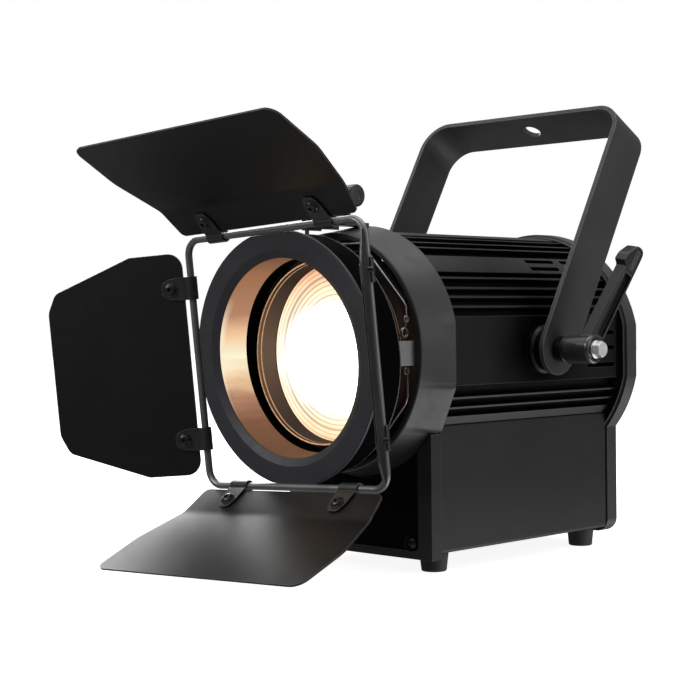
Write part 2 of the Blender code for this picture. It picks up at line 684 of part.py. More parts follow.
def make_ring(doors, mats):
    hub_r = 67.4
    rear = RING_DEPTH + 10.9
    profile = [(RING_R, 0), (RING_OPENING_R + 5, 0), (RING_OPENING_R, 3.0),
               (65.6, rear), (72.0, rear), (72.0, rear - 2), (hub_r, rear - 2),
               (hub_r, 4.5), (79.3, 4.5), (79.3, RING_DEPTH), (80.8, RING_DEPTH), (80.8, 2.5),
               (RING_R, 2.5)]
    ring = turned("barn_ring", profile, 56, mats["ring_black"])
    bm = bmesh.new()
    reach = WIRE_R + GAP
    for sign in (-1, 1):
        add_prism(bm, arc((0, sign * WIRE_HALF), reach, 0, 340, 17), -40, 40, "X")
        add_prism(bm, arc((sign * WIRE_HALF, 0), reach, 0, 340, 17), -40, 40, "Z")
    combine(ring, finish_mesh("ring_wire_notches", bm, None))
    attach(doors, ring)
    wire = swept_wire("barn_wire_frame", wire_path(), WIRE_R, 10, mats["steel_black"])
    attach(doors, wire)


def folded_leaf_outline():
    """Flattened outline of the top and bottom leaves: u outward, v along the hinge."""
    half = [(LEAF_START, 84.5), (LEAF_FOLD, 89.0), (LEAF_FOLD + 36, 99.0), (LEAF_LONG, 98.0)]
    points = half + [(u, -v) for u, v in reversed(half)]
    return rounded(points, [5, 8, 30, 9, 9, 30, 8, 5], 5)


def side_leaf_outline():
    half = [(LEAF_START + 0.7, 77.5), (45.0, 77.5), (LEAF_SIDE_LONG - 6.5, 57.0), (LEAF_SIDE_LONG, 44.0)]
    points = half + [(u, -v) for u, v in reversed(half)]
    return rounded(points, [11, 8, 8, 12, 12, 8, 8, 11], 5)


def leaf_section(folded, length):
    """Side view of a leaf, u outward and n towards the beam."""
    low = 0.25 - LEAF_THICK / 2
    high = 0.25 + LEAF_THICK / 2
    if not folded:
        return rectangle(0, length + 5, low, high)
    bend = math.radians(LEAF_FOLD_ANGLE)
    run = length + 5 - LEAF_FOLD
    end = (LEAF_FOLD + run * math.cos(bend), run * math.sin(bend))
    thick = (LEAF_THICK * -math.sin(bend), LEAF_THICK * math.cos(bend))
    inner = LEAF_FOLD - LEAF_THICK * math.tan(bend / 2)
    return [(0, low), (LEAF_FOLD, low), (end[0], end[1] + low),
            (end[0] + thick[0], end[1] + low + thick[1]), (inner, high), (0, high)]


def leaf_solid(name, outline, folded, length, mat):
    """A leaf in its hinge frame: X along the hinge, u along +Z, n along -Y."""
    section = [(-n, u) for u, n in leaf_section(folded, length)]
    leaf = prism(name, section, -105, 105, "X", mat)
    bend = math.radians(LEAF_FOLD_ANGLE) if folded else 0.0
    flat = []
    for u, v in outline:
        if u > LEAF_FOLD:
            u = LEAF_FOLD + (u - LEAF_FOLD) * math.cos(bend)
        flat.append((v, u))
    combine(leaf, prism(name + "_outline", flat, -60, 20, "Y"), "INTERSECT")
    for side in (-1, 1):
        hole = disc(f"{name}_hole_{side + 1}", (side * CLIP_AT, CLIP_SCREW_AT), 2.1, -5, 5, "Y", 12)
        combine(leaf, hole)
    return leaf


def clip_solid(name, mat):
    """A strap bent round the wire with a tongue on the beam side of the leaf."""
    tongue_low = 0.25 + LEAF_THICK / 2 + GAP
    tongue_high = tongue_low + 1.2
    outer = arc((0, 0), CLIP_OUT_R, 36, 326, 10)
    inner = arc((0, 0), CLIP_IN_R, 326, 36, 10)
    section = [(CLIP_LONG + 2, tongue_low), (CLIP_LONG + 2, tongue_high), (4.4, tongue_high)]
    section += outer + inner + [(4.4, tongue_low)]
    clip = prism(name, [(-n, u) for u, n in section], -CLIP_WIDTH, CLIP_WIDTH, "X", mat)
    half = CLIP_WIDTH / 2
    plan = [(-half, -6), (half, -6), (half, 7), (half - 1.5, CLIP_LONG), (1.5 - half, CLIP_LONG),
            (-half, 7)]
    combine(clip, prism(name + "_plan", rounded(plan, [0, 0, 3, 6, 6, 3], 4), -10, 10, "Y"),
            "INTERSECT")
    combine(clip, disc(name + "_hole", (0, CLIP_SCREW_AT), 2.1, -10, 10, "Y", 12))
    return clip


def screw_solid(name, mat):
    """Button-head hexagon-socket screw, its head on the beam side."""
    seat = 0.25 + LEAF_THICK / 2 + GAP + 1.2 + GAP
    profile = [(0, 3.6), (1.8, 3.6), (1.8, -seat), (4.2, -seat), (4.2, -seat - 0.7),
               (3.0, -seat - 2.0), (0, -seat - 2.2)]
    screw = turned(name, profile, 12, mat, closed=False)
    combine(screw, disc(name + "_socket", (0, 0), 1.6, -seat - 4, -seat - 0.9, "Y", 6))
    return screw


def make_leaf(doors, side, spin, open_angle, folded, mats):
    """One leaf with its two clips and screws, all on one hinge empty."""
    hinge = empty(f"leaf_{side}_hinge", doors)
    turn = Matrix.Rotation(math.radians(spin), 4, "Y")
    hinge.matrix_local = (turn @ Matrix.Translation((0, 0, WIRE_HALF * MM))
                          @ Matrix.Rotation(math.radians(open_angle), 4, "X"))
    if folded:
        outline = folded_leaf_outline()
        length = LEAF_LONG
    else:
        outline = side_leaf_outline()
        length = LEAF_SIDE_LONG
    leaf = leaf_solid(f"leaf_{side}", outline, folded, length, mats["powder"])
    attach(hinge, leaf)
    for sign, tag in ((-1, "a"), (1, "b")):
        clip = clip_solid(f"clip_{side}_{tag}", mats["steel_black"])
        screw = screw_solid(f"clip_screw_{side}_{tag}", mats["screw"])
        for part in (clip, screw):
            attach(hinge, part)
            part.location.x = sign * CLIP_AT * MM
            for modifier in part.modifiers:
                modifier.object.location.x = sign * CLIP_AT * MM
        screw.location.z = CLIP_SCREW_AT * MM
        screw.modifiers[0].object.location.z = CLIP_SCREW_AT * MM


def make_barn_doors(lamp, mats):
    doors = empty("barn_doors", lamp, (0, 0, AXIS_Z - RING_DROP))
    droop = Matrix.Rotation(math.radians(RING_DROOP), 4, "X")
    twist = Matrix.Rotation(math.radians(-RING_TWIST), 4, "Y")
    doors.matrix_local = Matrix.Translation((0, 0, (AXIS_Z - RING_DROP) * MM)) @ droop @ twist
    make_ring(doors, mats)
    make_leaf(doors, "top", 0, OPEN_TOP, True, mats)
    make_leaf(doors, "right", 90, OPEN_RIGHT, False, mats)
    make_leaf(doors, "bottom", 180, OPEN_BOTTOM, True, mats)
    make_leaf(doors, "left", 270, OPEN_LEFT, False, mats)


# ---- yoke and clamp levers ----------------------------------------------------------
def yoke_outline():
    """U-shaped front view, in the yoke's own frame with the pivot at zero."""
    x = YOKE_HALF_X
    t = YOKE_THICK
    low = -YOKE_WIDTH / 2
    outer = arc((x - YOKE_BEND_R, YOKE_REACH - YOKE_BEND_R), YOKE_BEND_R, 0, 90, 6)
    inner = arc((x - YOKE_BEND_R, YOKE_REACH - YOKE_BEND_R), YOKE_BEND_R - t, 90, 0, 6)
    right_outer = [(x, low)] + outer
    right_inner = inner + [(x - t, low)]
    left_outer = [(-a, b) for a, b in reversed(right_outer)]
    left_inner = [(-a, b) for a, b in reversed(right_inner)]
    return right_outer + left_outer + left_inner + right_inner


def make_yoke(lamp, mats):
    pivot = empty("yoke_pivot", lamp, (0, PIVOT_Y, AXIS_Z), (math.radians(-YOKE_TILT), 0, 0))
    half = YOKE_WIDTH / 2
    yoke = prism("yoke", yoke_outline(), -half, half, "Y", mats["powder"])
    sides = arc((0, 0), half, 180, 360, 14) + [(half, YOKE_REACH + 5), (-half, YOKE_REACH + 5)]
    combine(yoke, prism("yoke_side_shape", sides, -120, 120, "X"), "INTERSECT")
    combine(yoke, disc("yoke_hang_hole", (0, 0), YOKE_HOLE_R, YOKE_REACH - 10, YOKE_REACH + 10,
                       "Z", 28))
    combine(yoke, disc("yoke_pivot_bore", (0, 0), 4.3, -120, 120, "X", 20))
    attach(pivot, yoke)
    for sign, hand in ((1, "right"), (-1, "left")):
        make_clamp(lamp, pivot, sign, hand, mats)


def make_clamp(lamp, pivot, sign, hand, mats):
    """Friction boss on the body, lever hub outside the yoke and the bolt through them."""
    panel_x = BODY_R * math.cos(math.radians(SIDE_PANEL[1]))
    outside = YOKE_HALF_X
    inside = outside - YOKE_THICK
    boss_profile = [(4.3, panel_x + GAP), (17.0, panel_x + GAP), (17.0, panel_x + 4),
                    (15.5, panel_x + 5), (15.5, inside - GAP), (4.3, inside - GAP)]
    boss = turned(f"pivot_boss_{hand}", [(r, sign * t) for r, t in boss_profile], 24,
                  mats["plastic"], axis="X")
    boss.location = Vector((0, PIVOT_Y, AXIS_Z)) * MM
    attach(lamp, boss)

    hub = [(4.3, outside + GAP), (9.0, outside + GAP), (9.0, outside + 8), (LEVER_HUB_R, outside + 9),
           (LEVER_HUB_R, LEVER_HUB_OUT - 1.5), (LEVER_HUB_R - 1.5, LEVER_HUB_OUT), (4.3, LEVER_HUB_OUT)]
    lever = turned(f"clamp_lever_{hand}", [(r, sign * t) for r, t in hub], 20, mats["plastic"],
                   axis="X")
    grip = [(-6.8, 5.5), (6.8, 5.5), (5.6, LEVER_LONG - 5.5), (4.6, LEVER_LONG), (-3.5, LEVER_LONG),
            (-9.4, LEVER_LONG - 9.5), (-10.0, LEVER_LONG - 15), (-5.8, LEVER_LONG - 17.5)]
    bar = prism(f"lever_arm_{hand}", rounded(grip, [2, 2, 0, 4, 5, 8.0, 1.5, 2.0], 3),
                sign * (LEVER_HUB_OUT - 12.5), sign * (LEVER_HUB_OUT - 3.0), "X")
    lean = Matrix.Rotation(math.radians(sign * LEVER_LEAN), 4, "Y")
    hinge = Vector((sign * (LEVER_HUB_OUT - 8) * MM, 0, 0))
    bar.matrix_world = Matrix.Translation(hinge) @ lean @ Matrix.Translation(-hinge)
    combine(lever, bar, "UNION")
    attach(pivot, lever)
    combine(lever, disc(f"lever_bore_{hand}", (0, 0), 4.3, sign * 90, sign * 130, "X", 20))
    lever.modifiers[-1].object.parent = pivot

    head = LEVER_HUB_OUT + GAP
    profile = [(0, 76.5), (4.0, 76.5), (4.0, head), (6.2, head), (6.2, head + 0.8), (5.0, head + 0.8),
               (5.0, head + 5.4), (4.4, head + 6.0), (0, head + 6.0)]
    bolt = turned(f"clamp_bolt_{hand}", [(r, sign * t) for r, t in profile], 18, mats["zinc"],
                  closed=False, axis="X")
    attach(pivot, bolt)


# ---- assembly -----------------------------------------------------------------------
def make_materials():
    return {
        "anodised": material("black_anodised_aluminium", (0.016, 0.016, 0.017), 0.42, 0.6),
        "satin": material("satin_black_paint", (0.030, 0.030, 0.032), 0.45),
        "powder": material("black_powder_coat", (0.022, 0.022, 0.023), 0.55),
        "ring_black": material("matt_black_ring", (0.026, 0.026, 0.030), 0.6),
        "steel_black": material("black_steel", (0.025, 0.025, 0.027), 0.4, 0.4),
        "steel": material("bright_steel", (0.55, 0.55, 0.56), 0.3, 1.0),
        "zinc": material("zinc_plated_steel", (0.60, 0.60, 0.60), 0.35, 1.0),
        "screw": material("black_oxide_screw", (0.03, 0.03, 0.032), 0.35, 0.8),
        "aluminium": material("plain_aluminium", (0.45, 0.45, 0.46), 0.4, 1.0),
        "plastic": material("black_plastic", (0.02, 0.02, 0.021), 0.45),
        "rubber": material("black_rubber", (0.03, 0.03, 0.03), 0.8),
        "button": material("grey_rubber", (0.12, 0.12, 0.12), 0.7),
        "display": material("display_window", (0.01, 0.02, 0.04), 0.1),
        "glass": material("warm_glass", (1.0, 0.86, 0.62), 0.1),
        "led": material("led_module", (0.9, 0.85, 0.6), 0.4),
    }


def move_to_origin(lamp):
    """Put the origin at the bottom centre of the bounding box of all pieces."""
    bpy.context.view_layer.update()
    graph = bpy.context.evaluated_depsgraph_get()
    low = Vector((1e9, 1e9, 1e9))
    high = -low
    for obj in bpy.data.objects:
        if obj.type != "MESH" or obj.hide_render:
            continue
        shape = obj.evaluated_get(graph)
        for vertex in shape.data.vertices:
            point = shape.matrix_world @ vertex.co
            for k in range(3):
                low[k] = min(low[k], point[k])
                high[k] = max(high[k], point[k])
    lamp.location = (-(low.x + high.x) / 2, -(low.y + high.y) / 2, -low.z)
    bpy.context.view_layer.update()


def main():
    for obj in list(bpy.data.objects):
        bpy.data.objects.remove(obj, do_unlink=True)
    mats = make_materials()
    lamp = empty("spotlight", None)
    carriage = empty("carriage_axis", lamp, (0, 0, AXIS_Z))
    make_body(lamp, mats)
    make_bezel(lamp, mats)
    make_holder(lamp, mats)
    make_base(lamp, mats)
    make_rear_cover(lamp, mats)
    make_optics(lamp, carriage, mats)
    make_light_source(lamp, mats)
    make_fan(lamp, mats)
    make_power_supply(lamp, mats)
    make_latch(lamp, mats)
    make_barn_doors(lamp, mats)
    make_yoke(lamp, mats)
    move_to_origin(lamp)


main()
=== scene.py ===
"""Looks of the stage spotlight: detailed pieces, procedural materials, light and camera.

Shapes are written in the lamp's own design frame, in millimetres: X across, +Y to the rear,
+Z up, optical axis at X = 0 and Z = AXIS_Z, front of the barn-door ring near Y = 0.
"""
import json
import math

import bmesh
import bpy
from mathutils import Matrix, Vector


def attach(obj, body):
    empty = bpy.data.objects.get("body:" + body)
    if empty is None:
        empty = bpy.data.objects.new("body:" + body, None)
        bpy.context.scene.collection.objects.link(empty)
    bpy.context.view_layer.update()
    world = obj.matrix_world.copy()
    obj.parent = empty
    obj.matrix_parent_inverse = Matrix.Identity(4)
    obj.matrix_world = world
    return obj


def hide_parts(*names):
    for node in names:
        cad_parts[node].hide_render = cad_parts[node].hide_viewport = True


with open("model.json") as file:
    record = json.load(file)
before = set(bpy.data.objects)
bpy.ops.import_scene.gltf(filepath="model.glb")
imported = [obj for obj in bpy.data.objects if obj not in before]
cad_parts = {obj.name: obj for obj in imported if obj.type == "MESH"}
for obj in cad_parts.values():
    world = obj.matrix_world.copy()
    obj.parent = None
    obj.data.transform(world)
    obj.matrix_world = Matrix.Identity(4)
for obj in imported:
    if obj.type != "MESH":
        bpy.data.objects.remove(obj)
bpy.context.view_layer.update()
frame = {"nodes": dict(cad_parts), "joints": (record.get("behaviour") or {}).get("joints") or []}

MM = 0.001
AXIS_Z = 147.3
PIVOT_Y = 173.6
JOINTS = {joint["name"]: joint for joint in frame["joints"]}
PIVOT = Vector(JOINTS["yoke_tilt"]["pos_m"])
ORIGIN = PIVOT - Vector((0, PIVOT_Y, AXIS_Z)) * MM
DOORS_AT = Vector(JOINTS["barn_door_rotation"]["pos_m"])
SCALE = Matrix.Scale(MM, 4)
LAMP = Matrix.Translation(ORIGIN) @ SCALE
DROOP, TWIST, YOKE_TILT = 4.03, 2.55, 29.4
DOORS_TURN = (Matrix.Translation(DOORS_AT) @ Matrix.Rotation(math.radians(DROOP), 4, "X")
              @ Matrix.Rotation(math.radians(-TWIST), 4, "Y"))
DOORS = DOORS_TURN @ SCALE
YOKE = Matrix.Translation(PIVOT) @ Matrix.Rotation(math.radians(-YOKE_TILT), 4, "X") @ SCALE
WIRE_HALF, WIRE_R = 85.1, 2.5
LEAVES = {"top": (0, 39.0), "right": (90, 48.0), "bottom": (180, 54.5), "left": (270, 28.0)}
HINGE = {side: DOORS_TURN @ Matrix.Rotation(math.radians(spin), 4, "Y")
         @ Matrix.Translation((0, 0, WIRE_HALF * MM))
         @ Matrix.Rotation(math.radians(opened), 4, "X") @ SCALE
         for side, (spin, opened) in LEAVES.items()}


# ---- mesh tools ---------------------------------------------------------------------
def place(a, b, t, axis):
    return Vector({"X": (t, a, b), "Y": (a, t, b), "Z": (a, b, t)}[axis])


def polar(radius, degrees):
    return (radius * math.cos(math.radians(degrees)), radius * math.sin(math.radians(degrees)))


def arc(centre, radius, start, end, steps):
    points = []
    for i in range(steps + 1):
        x, y = polar(radius, start + (end - start) * i / steps)
        points.append((centre[0] + x, centre[1] + y))
    return points


def circle(centre, radius, steps=32):
    return arc(centre, radius, 0, 360 - 360 / steps, steps - 1)


def rect(x0, x1, z0, z1):
    return [(x0, z0), (x1, z0), (x1, z1), (x0, z1)]


def rounded(points, radii, steps=8):
    """Round the corners of an outline, one radius for each corner or one for all."""
    if not isinstance(radii, (list, tuple)):
        radii = [radii] * len(points)
    result = []
    for i, radius in enumerate(radii):
        here = Vector(points[i])
        before = (Vector(points[i - 1]) - here).normalized()
        after = (Vector(points[(i + 1) % len(points)]) - here).normalized()
        if radius <= 0:
            result.append(tuple(here))
            continue
        half = before.angle(after) / 2
        centre = here + (before + after).normalized() * radius / math.sin(half)
        first = here + before * radius / math.tan(half) - centre
        last = here + after * radius / math.tan(half) - centre
        sweep = first.angle_signed(last)
        for k in range(steps + 1):
            result.append(tuple(centre + Matrix.Rotation(-sweep * k / steps, 2) @ first))
    return result


def extrude(outline, start, end, axis="Y"):
    bm = bmesh.new()
    low = [bm.verts.new(place(a, b, start, axis)) for a, b in outline]
    high = [bm.verts.new(place(a, b, end, axis)) for a, b in outline]
    bm.faces.new(low)
    bm.faces.new(high)
    for i in range(len(low)):
        k = (i + 1) % len(low)
        bm.faces.new((low[i], low[k], high[k], high[i]))
    return bm


def lathe(profile, steps=96, axis="Y", closed=True, radius_of=None):
    """Spin (radius, distance) points about an axis through the origin."""
    bm = bmesh.new()
    rings = []
    for r, t in profile:
        if r < 1e-6:
            rings.append([bm.verts.new(place(0, 0, t, axis))] * steps)
            continue
        ring = []
        for i in range(steps):
            angle = 360 * i / steps
            a, b = polar(radius_of(r, t, angle) if radius_of else r, angle)
            ring.append(bm.verts.new(place(a, b, t, axis)))
        rings.append(ring)
    pairs = list(zip(rings, rings[1:]))
    if closed:
        pairs.append((rings[-1], rings[0]))
    for first, second in pairs:
        for i in range(steps):
            k = (i + 1) % steps
            corners = []
            for vert in (first[i], first[k], second[k], second[i]):
                if vert not in corners:
                    corners.append(vert)
            if len(corners) > 2:
                bm.faces.new(corners)
    return bm


def sweep(path, radius, sides=14, closed=False):
    """A round wire along 3-D points, with rounded ends when it is open."""
    bm = bmesh.new()
    points = [Vector(p) for p in path]
    count = len(points)
    tangents = []
    for i in range(count):
        ahead = points[(i + 1) % count] if closed or i < count - 1 else points[i]
        back = points[i - 1] if closed or i > 0 else points[i]
        tangents.append((ahead - back).normalized())
    side = tangents[0].orthogonal().normalized()
    rings = []
    for point, tangent in zip(points, tangents):
        side = (side - tangent * side.dot(tangent)).normalized()
        up = tangent.cross(side)
        ring = []
        for k in range(sides):
            a, b = polar(radius, 360 * k / sides)
            ring.append(bm.verts.new(point + side * a + up * b))
        rings.append(ring)
    pairs = list(zip(rings, rings[1:]))
    if closed:
        pairs.append((rings[-1], rings[0]))
    for first, second in pairs:
        shift = 0
        if first is rings[-1]:
            shift = min(range(sides), key=lambda s: (first[0].co - second[s].co).length)
        for k in range(sides):
            n = (k + 1) % sides
            bm.faces.new((first[k], first[n], second[(n + shift) % sides], second[(k + shift) % sides]))
    if not closed:
        for ring, point, out in ((rings[0], points[0], -tangents[0]), (rings[-1], points[-1], tangents[-1])):
            tip = bm.verts.new(point + out * radius * 0.5)
            for k in range(sides):
                bm.faces.new((ring[k], ring[(k + 1) % sides], tip))
    return bm


def clean(bm):
    bmesh.ops.remove_doubles(bm, verts=bm.verts, dist=1e-4)
    bmesh.ops.recalc_face_normals(bm, faces=bm.faces)
    return bm


def move(bm, matrix):
    bmesh.ops.transform(bm, verts=bm.verts, matrix=matrix)
    return bm


def shifted(bm, x=0.0, y=0.0, z=0.0):
    return move(bm, Matrix.Translation((x, y, z)))


def join(*parts):
    """Several meshes in one, freed afterwards."""
    whole = bmesh.new()
    for part in parts:
        mesh = bpy.data.meshes.new("part")
        clean(part).to_mesh(mesh)
        part.free()
        whole.from_mesh(mesh)
        bpy.data.meshes.remove(mesh)
    return whole


def temporary(bm, name):
    mesh = bpy.data.meshes.new(name)
    clean(bm).to_mesh(mesh)
    bm.free()
    obj = bpy.data.objects.new(name, mesh)
    bpy.context.scene.collection.objects.link(obj)
    return obj


def drop(obj):
    mesh = obj.data
    bpy.data.objects.remove(obj)
    bpy.data.meshes.remove(mesh)


def evaluated(obj):
    bpy.context.view_layer.update()
    graph = bpy.context.evaluated_depsgraph_get()
    result = bmesh.new()
    result.from_mesh(obj.evaluated_get(graph).data)
    drop(obj)
    return result


def carve(bm, tool, operation="DIFFERENCE"):
    """Boolean of two meshes."""
    target = temporary(bm, "target")
    cutter = temporary(tool, "cutter")
    modifier = target.modifiers.new("carve", "BOOLEAN")
    modifier.operation = operation
    modifier.solver = "EXACT"
    modifier.use_self = False
    modifier.object = cutter
    result = evaluated(target)
    drop(cutter)
    return result


def bore(bm, centre, radius, start, end, axis="Y", steps=24):
    """Cut a round hole along an axis."""
    return carve(bm, extrude(circle(centre, radius, steps), start, end, axis))


def bevelled(bm, width, segments=2, angle=35):
    obj = temporary(bm, "edges")
    modifier = obj.modifiers.new("bevel", "BEVEL")
    modifier.width = width
    modifier.segments = segments
    modifier.limit_method = "ANGLE"
    modifier.angle_limit = math.radians(angle)
    modifier.use_clamp_overlap = True
    return evaluated(obj)


def piece(name, bm, matrix, mat, body, nodes=(), sharp=40):
    """Put a finished mesh in the scene, on its body and in place of its CAD nodes."""
    move(bm, matrix)
    bmesh.ops.remove_doubles(bm, verts=bm.verts, dist=2e-7)
    bmesh.ops.recalc_face_normals(bm, faces=bm.faces)
    mesh = bpy.data.meshes.new(name)
    bm.to_mesh(mesh)
    bm.free()
    mesh.shade_smooth()
    mesh.set_sharp_from_angle(angle=math.radians(sharp))
    mesh.materials.append(mat)
    obj = bpy.data.objects.new(name, mesh)
    bpy.context.scene.collection.objects.link(obj)
    weighted = obj.modifiers.new("weighted", "WEIGHTED_NORMAL")
    weighted.keep_sharp = True
    weighted.weight = 60
    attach(obj, body)
    if nodes:
        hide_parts(*nodes)
    return obj


def lamp_piece(name, bm, mat, nodes=(), sharp=40, body="lamp"):
    """A piece drawn in the lamp's own frame."""
    return piece(name, bm, LAMP, MATS[mat], body, nodes, sharp)


def off_axis(point, z=AXIS_Z):
    return math.hypot(point.x, point.z - z)


def paint(obj, matrix, looks, choose):
    """Add material slots; choose(centre, normal) gives each face its slot."""
    for look in looks:
        obj.data.materials.append(MATS[look])
    inverse = matrix.inverted()
    for face in obj.data.polygons:
        face.material_index = int(choose(inverse @ face.center, face.normal))


# ---- materials ----------------------------------------------------------------------
class Graph:
    """A small builder for node trees."""

    def __init__(self, tree):
        self.tree = tree

    def node(self, kind, inputs=None, **settings):
        node = self.tree.nodes.new(kind)
        for key, value in settings.items():
            setattr(node, key, value)
        for key, value in (inputs or {}).items():
            self.feed(node.inputs[key], value)
        return node

    def feed(self, socket, value):
        if isinstance(value, bpy.types.NodeSocket):
            self.tree.links.new(value, socket)
        else:
            socket.default_value = value

    def span(self, value, low, high, to_low=0.0, to_high=1.0):
        node = self.node("ShaderNodeMapRange", {"Value": value, "From Min": low, "From Max": high,
                                                "To Min": to_low, "To Max": to_high})
        return node.outputs["Result"]

    def ramp(self, value, stops):
        node = self.node("ShaderNodeValToRGB", {"Fac": value})
        for _ in range(len(stops) - 2):
            node.color_ramp.elements.new(0.5)
        for element, (at, colour) in zip(node.color_ramp.elements, stops):
            element.position = at
            element.color = (*colour, 1.0)
        return node.outputs["Color"]


class Shader(Graph):
    """A material with one Principled BSDF."""

    def __init__(self, name):
        self.mat = bpy.data.materials.new(name)
        self.mat.use_nodes = True
        super().__init__(self.mat.node_tree)
        self.bsdf = self.tree.nodes["Principled BSDF"]
        self.coords = self.tree.nodes.new("ShaderNodeTexCoord").outputs["Object"]

    def vector(self, operation, a, b, output=0):
        return self.node("ShaderNodeVectorMath", {0: a, 1: b}, operation=operation).outputs[output]

    def from_point(self, point):
        """X, Y and Z measured from a point."""
        return self.node("ShaderNodeSeparateXYZ",
                         {"Vector": self.vector("SUBTRACT", self.coords, point)}).outputs

    def reach(self, point, weights):
        """Distance from a point in metres, each axis first scaled by its weight."""
        flat = self.vector("MULTIPLY", self.vector("SUBTRACT", self.coords, point), weights)
        return self.node("ShaderNodeVectorMath", {0: flat}, operation="LENGTH").outputs["Value"]

    def stretched(self, scale):
        return self.node("ShaderNodeMapping", {"Vector": self.coords, "Scale": scale}).outputs[0]

    def noise(self, size_mm, detail=3.0, rough=0.55, vector=None):
        node = self.node("ShaderNodeTexNoise", {"Vector": vector or self.coords,
                                                "Scale": 1000.0 / size_mm, "Detail": detail,
                                                "Roughness": rough})
        return node.outputs["Fac"]

    def math(self, operation, a, b=0.0):
        node = self.node("ShaderNodeMath", {0: a, 1: b}, operation=operation)
        return node.outputs[0]

    def mix(self, factor, a, b):
        node = self.node("ShaderNodeMix", {"Factor": factor}, data_type="RGBA")
        self.feed(node.inputs[6], a)
        self.feed(node.inputs[7], b)
        return node.outputs[2]

    def edges(self, radius_mm):
        """1 near a sharp edge, 0 on open faces."""
        round_normal = self.node("ShaderNodeBevel", {"Radius": radius_mm * MM}, samples=4)
        normal = self.node("ShaderNodeNewGeometry").outputs["Normal"]
        dot = self.vector("DOT_PRODUCT", round_normal.outputs[0], normal, "Value")
        return self.span(dot, 0.985, 0.86)

    def bump(self, height, depth_mm, strength=1.0, normal=None):
        node = self.node("ShaderNodeBump", {"Height": height, "Distance": depth_mm * MM,
                                            "Strength": strength})
        if normal is not None:
            self.feed(node.inputs["Normal"], normal)
        return node.outputs["Normal"]

    def set(self, **values):
        for key, value in values.items():
            self.feed(self.bsdf.inputs[key.replace("_", " ")], value)

    def glow(self, colour, strength):
        self.set(Emission_Color=colour, Emission_Strength=strength)


def grey(value, tint=(1.0, 1.0, 1.0)):
    return (value * tint[0], value * tint[1], value * tint[2], 1.0)


def coat(name, dark, light, rough, grain_mm, grain_depth, edge=0.12, edge_mm=0.5, metal=0.0,
         gloss=0.5, tint=(1.0, 1.0, 1.0), wave_mm=45.0, smear=1.0, painted_floor_light=0.0, pivot_shade=False):
    """Painted, anodised or moulded black surface: mottled colour, grain, handling marks, edges lightened
    partly as wear and partly as a painted highlight; optionally painted floor light low down and painted shade
    round the pivot.
    """
    s = Shader(name)
    broad = s.noise(wave_mm, 2.0)
    fine = s.noise(grain_mm, 4.0, 0.6)
    smudge = s.noise(11.0, 5.0, 0.65)
    base = s.mix(s.span(broad, 0.35, 0.65), grey(dark, tint), grey(light, tint))
    # Painted floor light: the colour lightens towards the bottom, standing in for light thrown up off the
    # floor.
    if painted_floor_light:
        floor_light_mask = s.span(s.from_point(ORIGIN)["Z"], 0.060, 0.012, 0.0, painted_floor_light)
        base = s.mix(floor_light_mask, base, grey(light * 3.0, tint))
    specks = s.span(s.noise(grain_mm * 0.8, 2.0), 0.62, 0.74, 0.0, 0.35)
    base = s.mix(specks, base, grey(light * 1.9, tint))
    # Edges lightened by the bevel mask: partly real wear, partly a painted highlight along the edges.
    edge_wear_and_highlight = s.math("MULTIPLY", s.edges(edge_mm), s.span(smudge, 0.3, 0.62, 0.45, 1.0))
    base = s.mix(edge_wear_and_highlight, base, grey(edge, tint))
    roughness = s.math("ADD", s.span(smudge, 0.3, 0.7, rough - 0.05 * smear, rough + 0.07 * smear),
                       s.math("MULTIPLY", edge_wear_and_highlight, -0.1))
    lumps = s.bump(smudge, 0.04 * smear, 0.35)
    normal = s.bump(fine, grain_depth, 0.8, lumps)
    # Painted shade: less specular reflection close to the pivot, a dark halo round the pivot boss.
    if pivot_shade:
        gloss = s.span(s.reach(PIVOT_POINT, (0.0, 1.0, 1.0)), 0.018, 0.062, 0.03, gloss)
    s.set(Base_Color=base, Roughness=roughness, Normal=normal, Metallic=metal, Specular_IOR_Level=gloss)
    return s.mat


def bare_metal(name, colour, rough, grain_mm, stretch=(1.0, 1.0, 1.0), depth=0.02):
    """Uncoated metal with directional grain."""
    s = Shader(name)
    lines = s.noise(grain_mm, 5.0, 0.7, s.stretched(stretch))
    stain = s.noise(9.0, 4.0)
    base = s.mix(s.span(stain, 0.3, 0.7), (*colour, 1.0), tuple(c * 0.72 for c in colour) + (1.0,))
    roughness = s.span(lines, 0.25, 0.75, rough - 0.08, rough + 0.1)
    s.set(Base_Color=base, Roughness=roughness, Metallic=1.0, Normal=s.bump(lines, depth, 0.6))
    return s.mat


AXIS_POINT = ORIGIN + Vector((0, 0, AXIS_Z)) * MM
PIVOT_POINT = ORIGIN + Vector((0, PIVOT_Y, AXIS_Z)) * MM


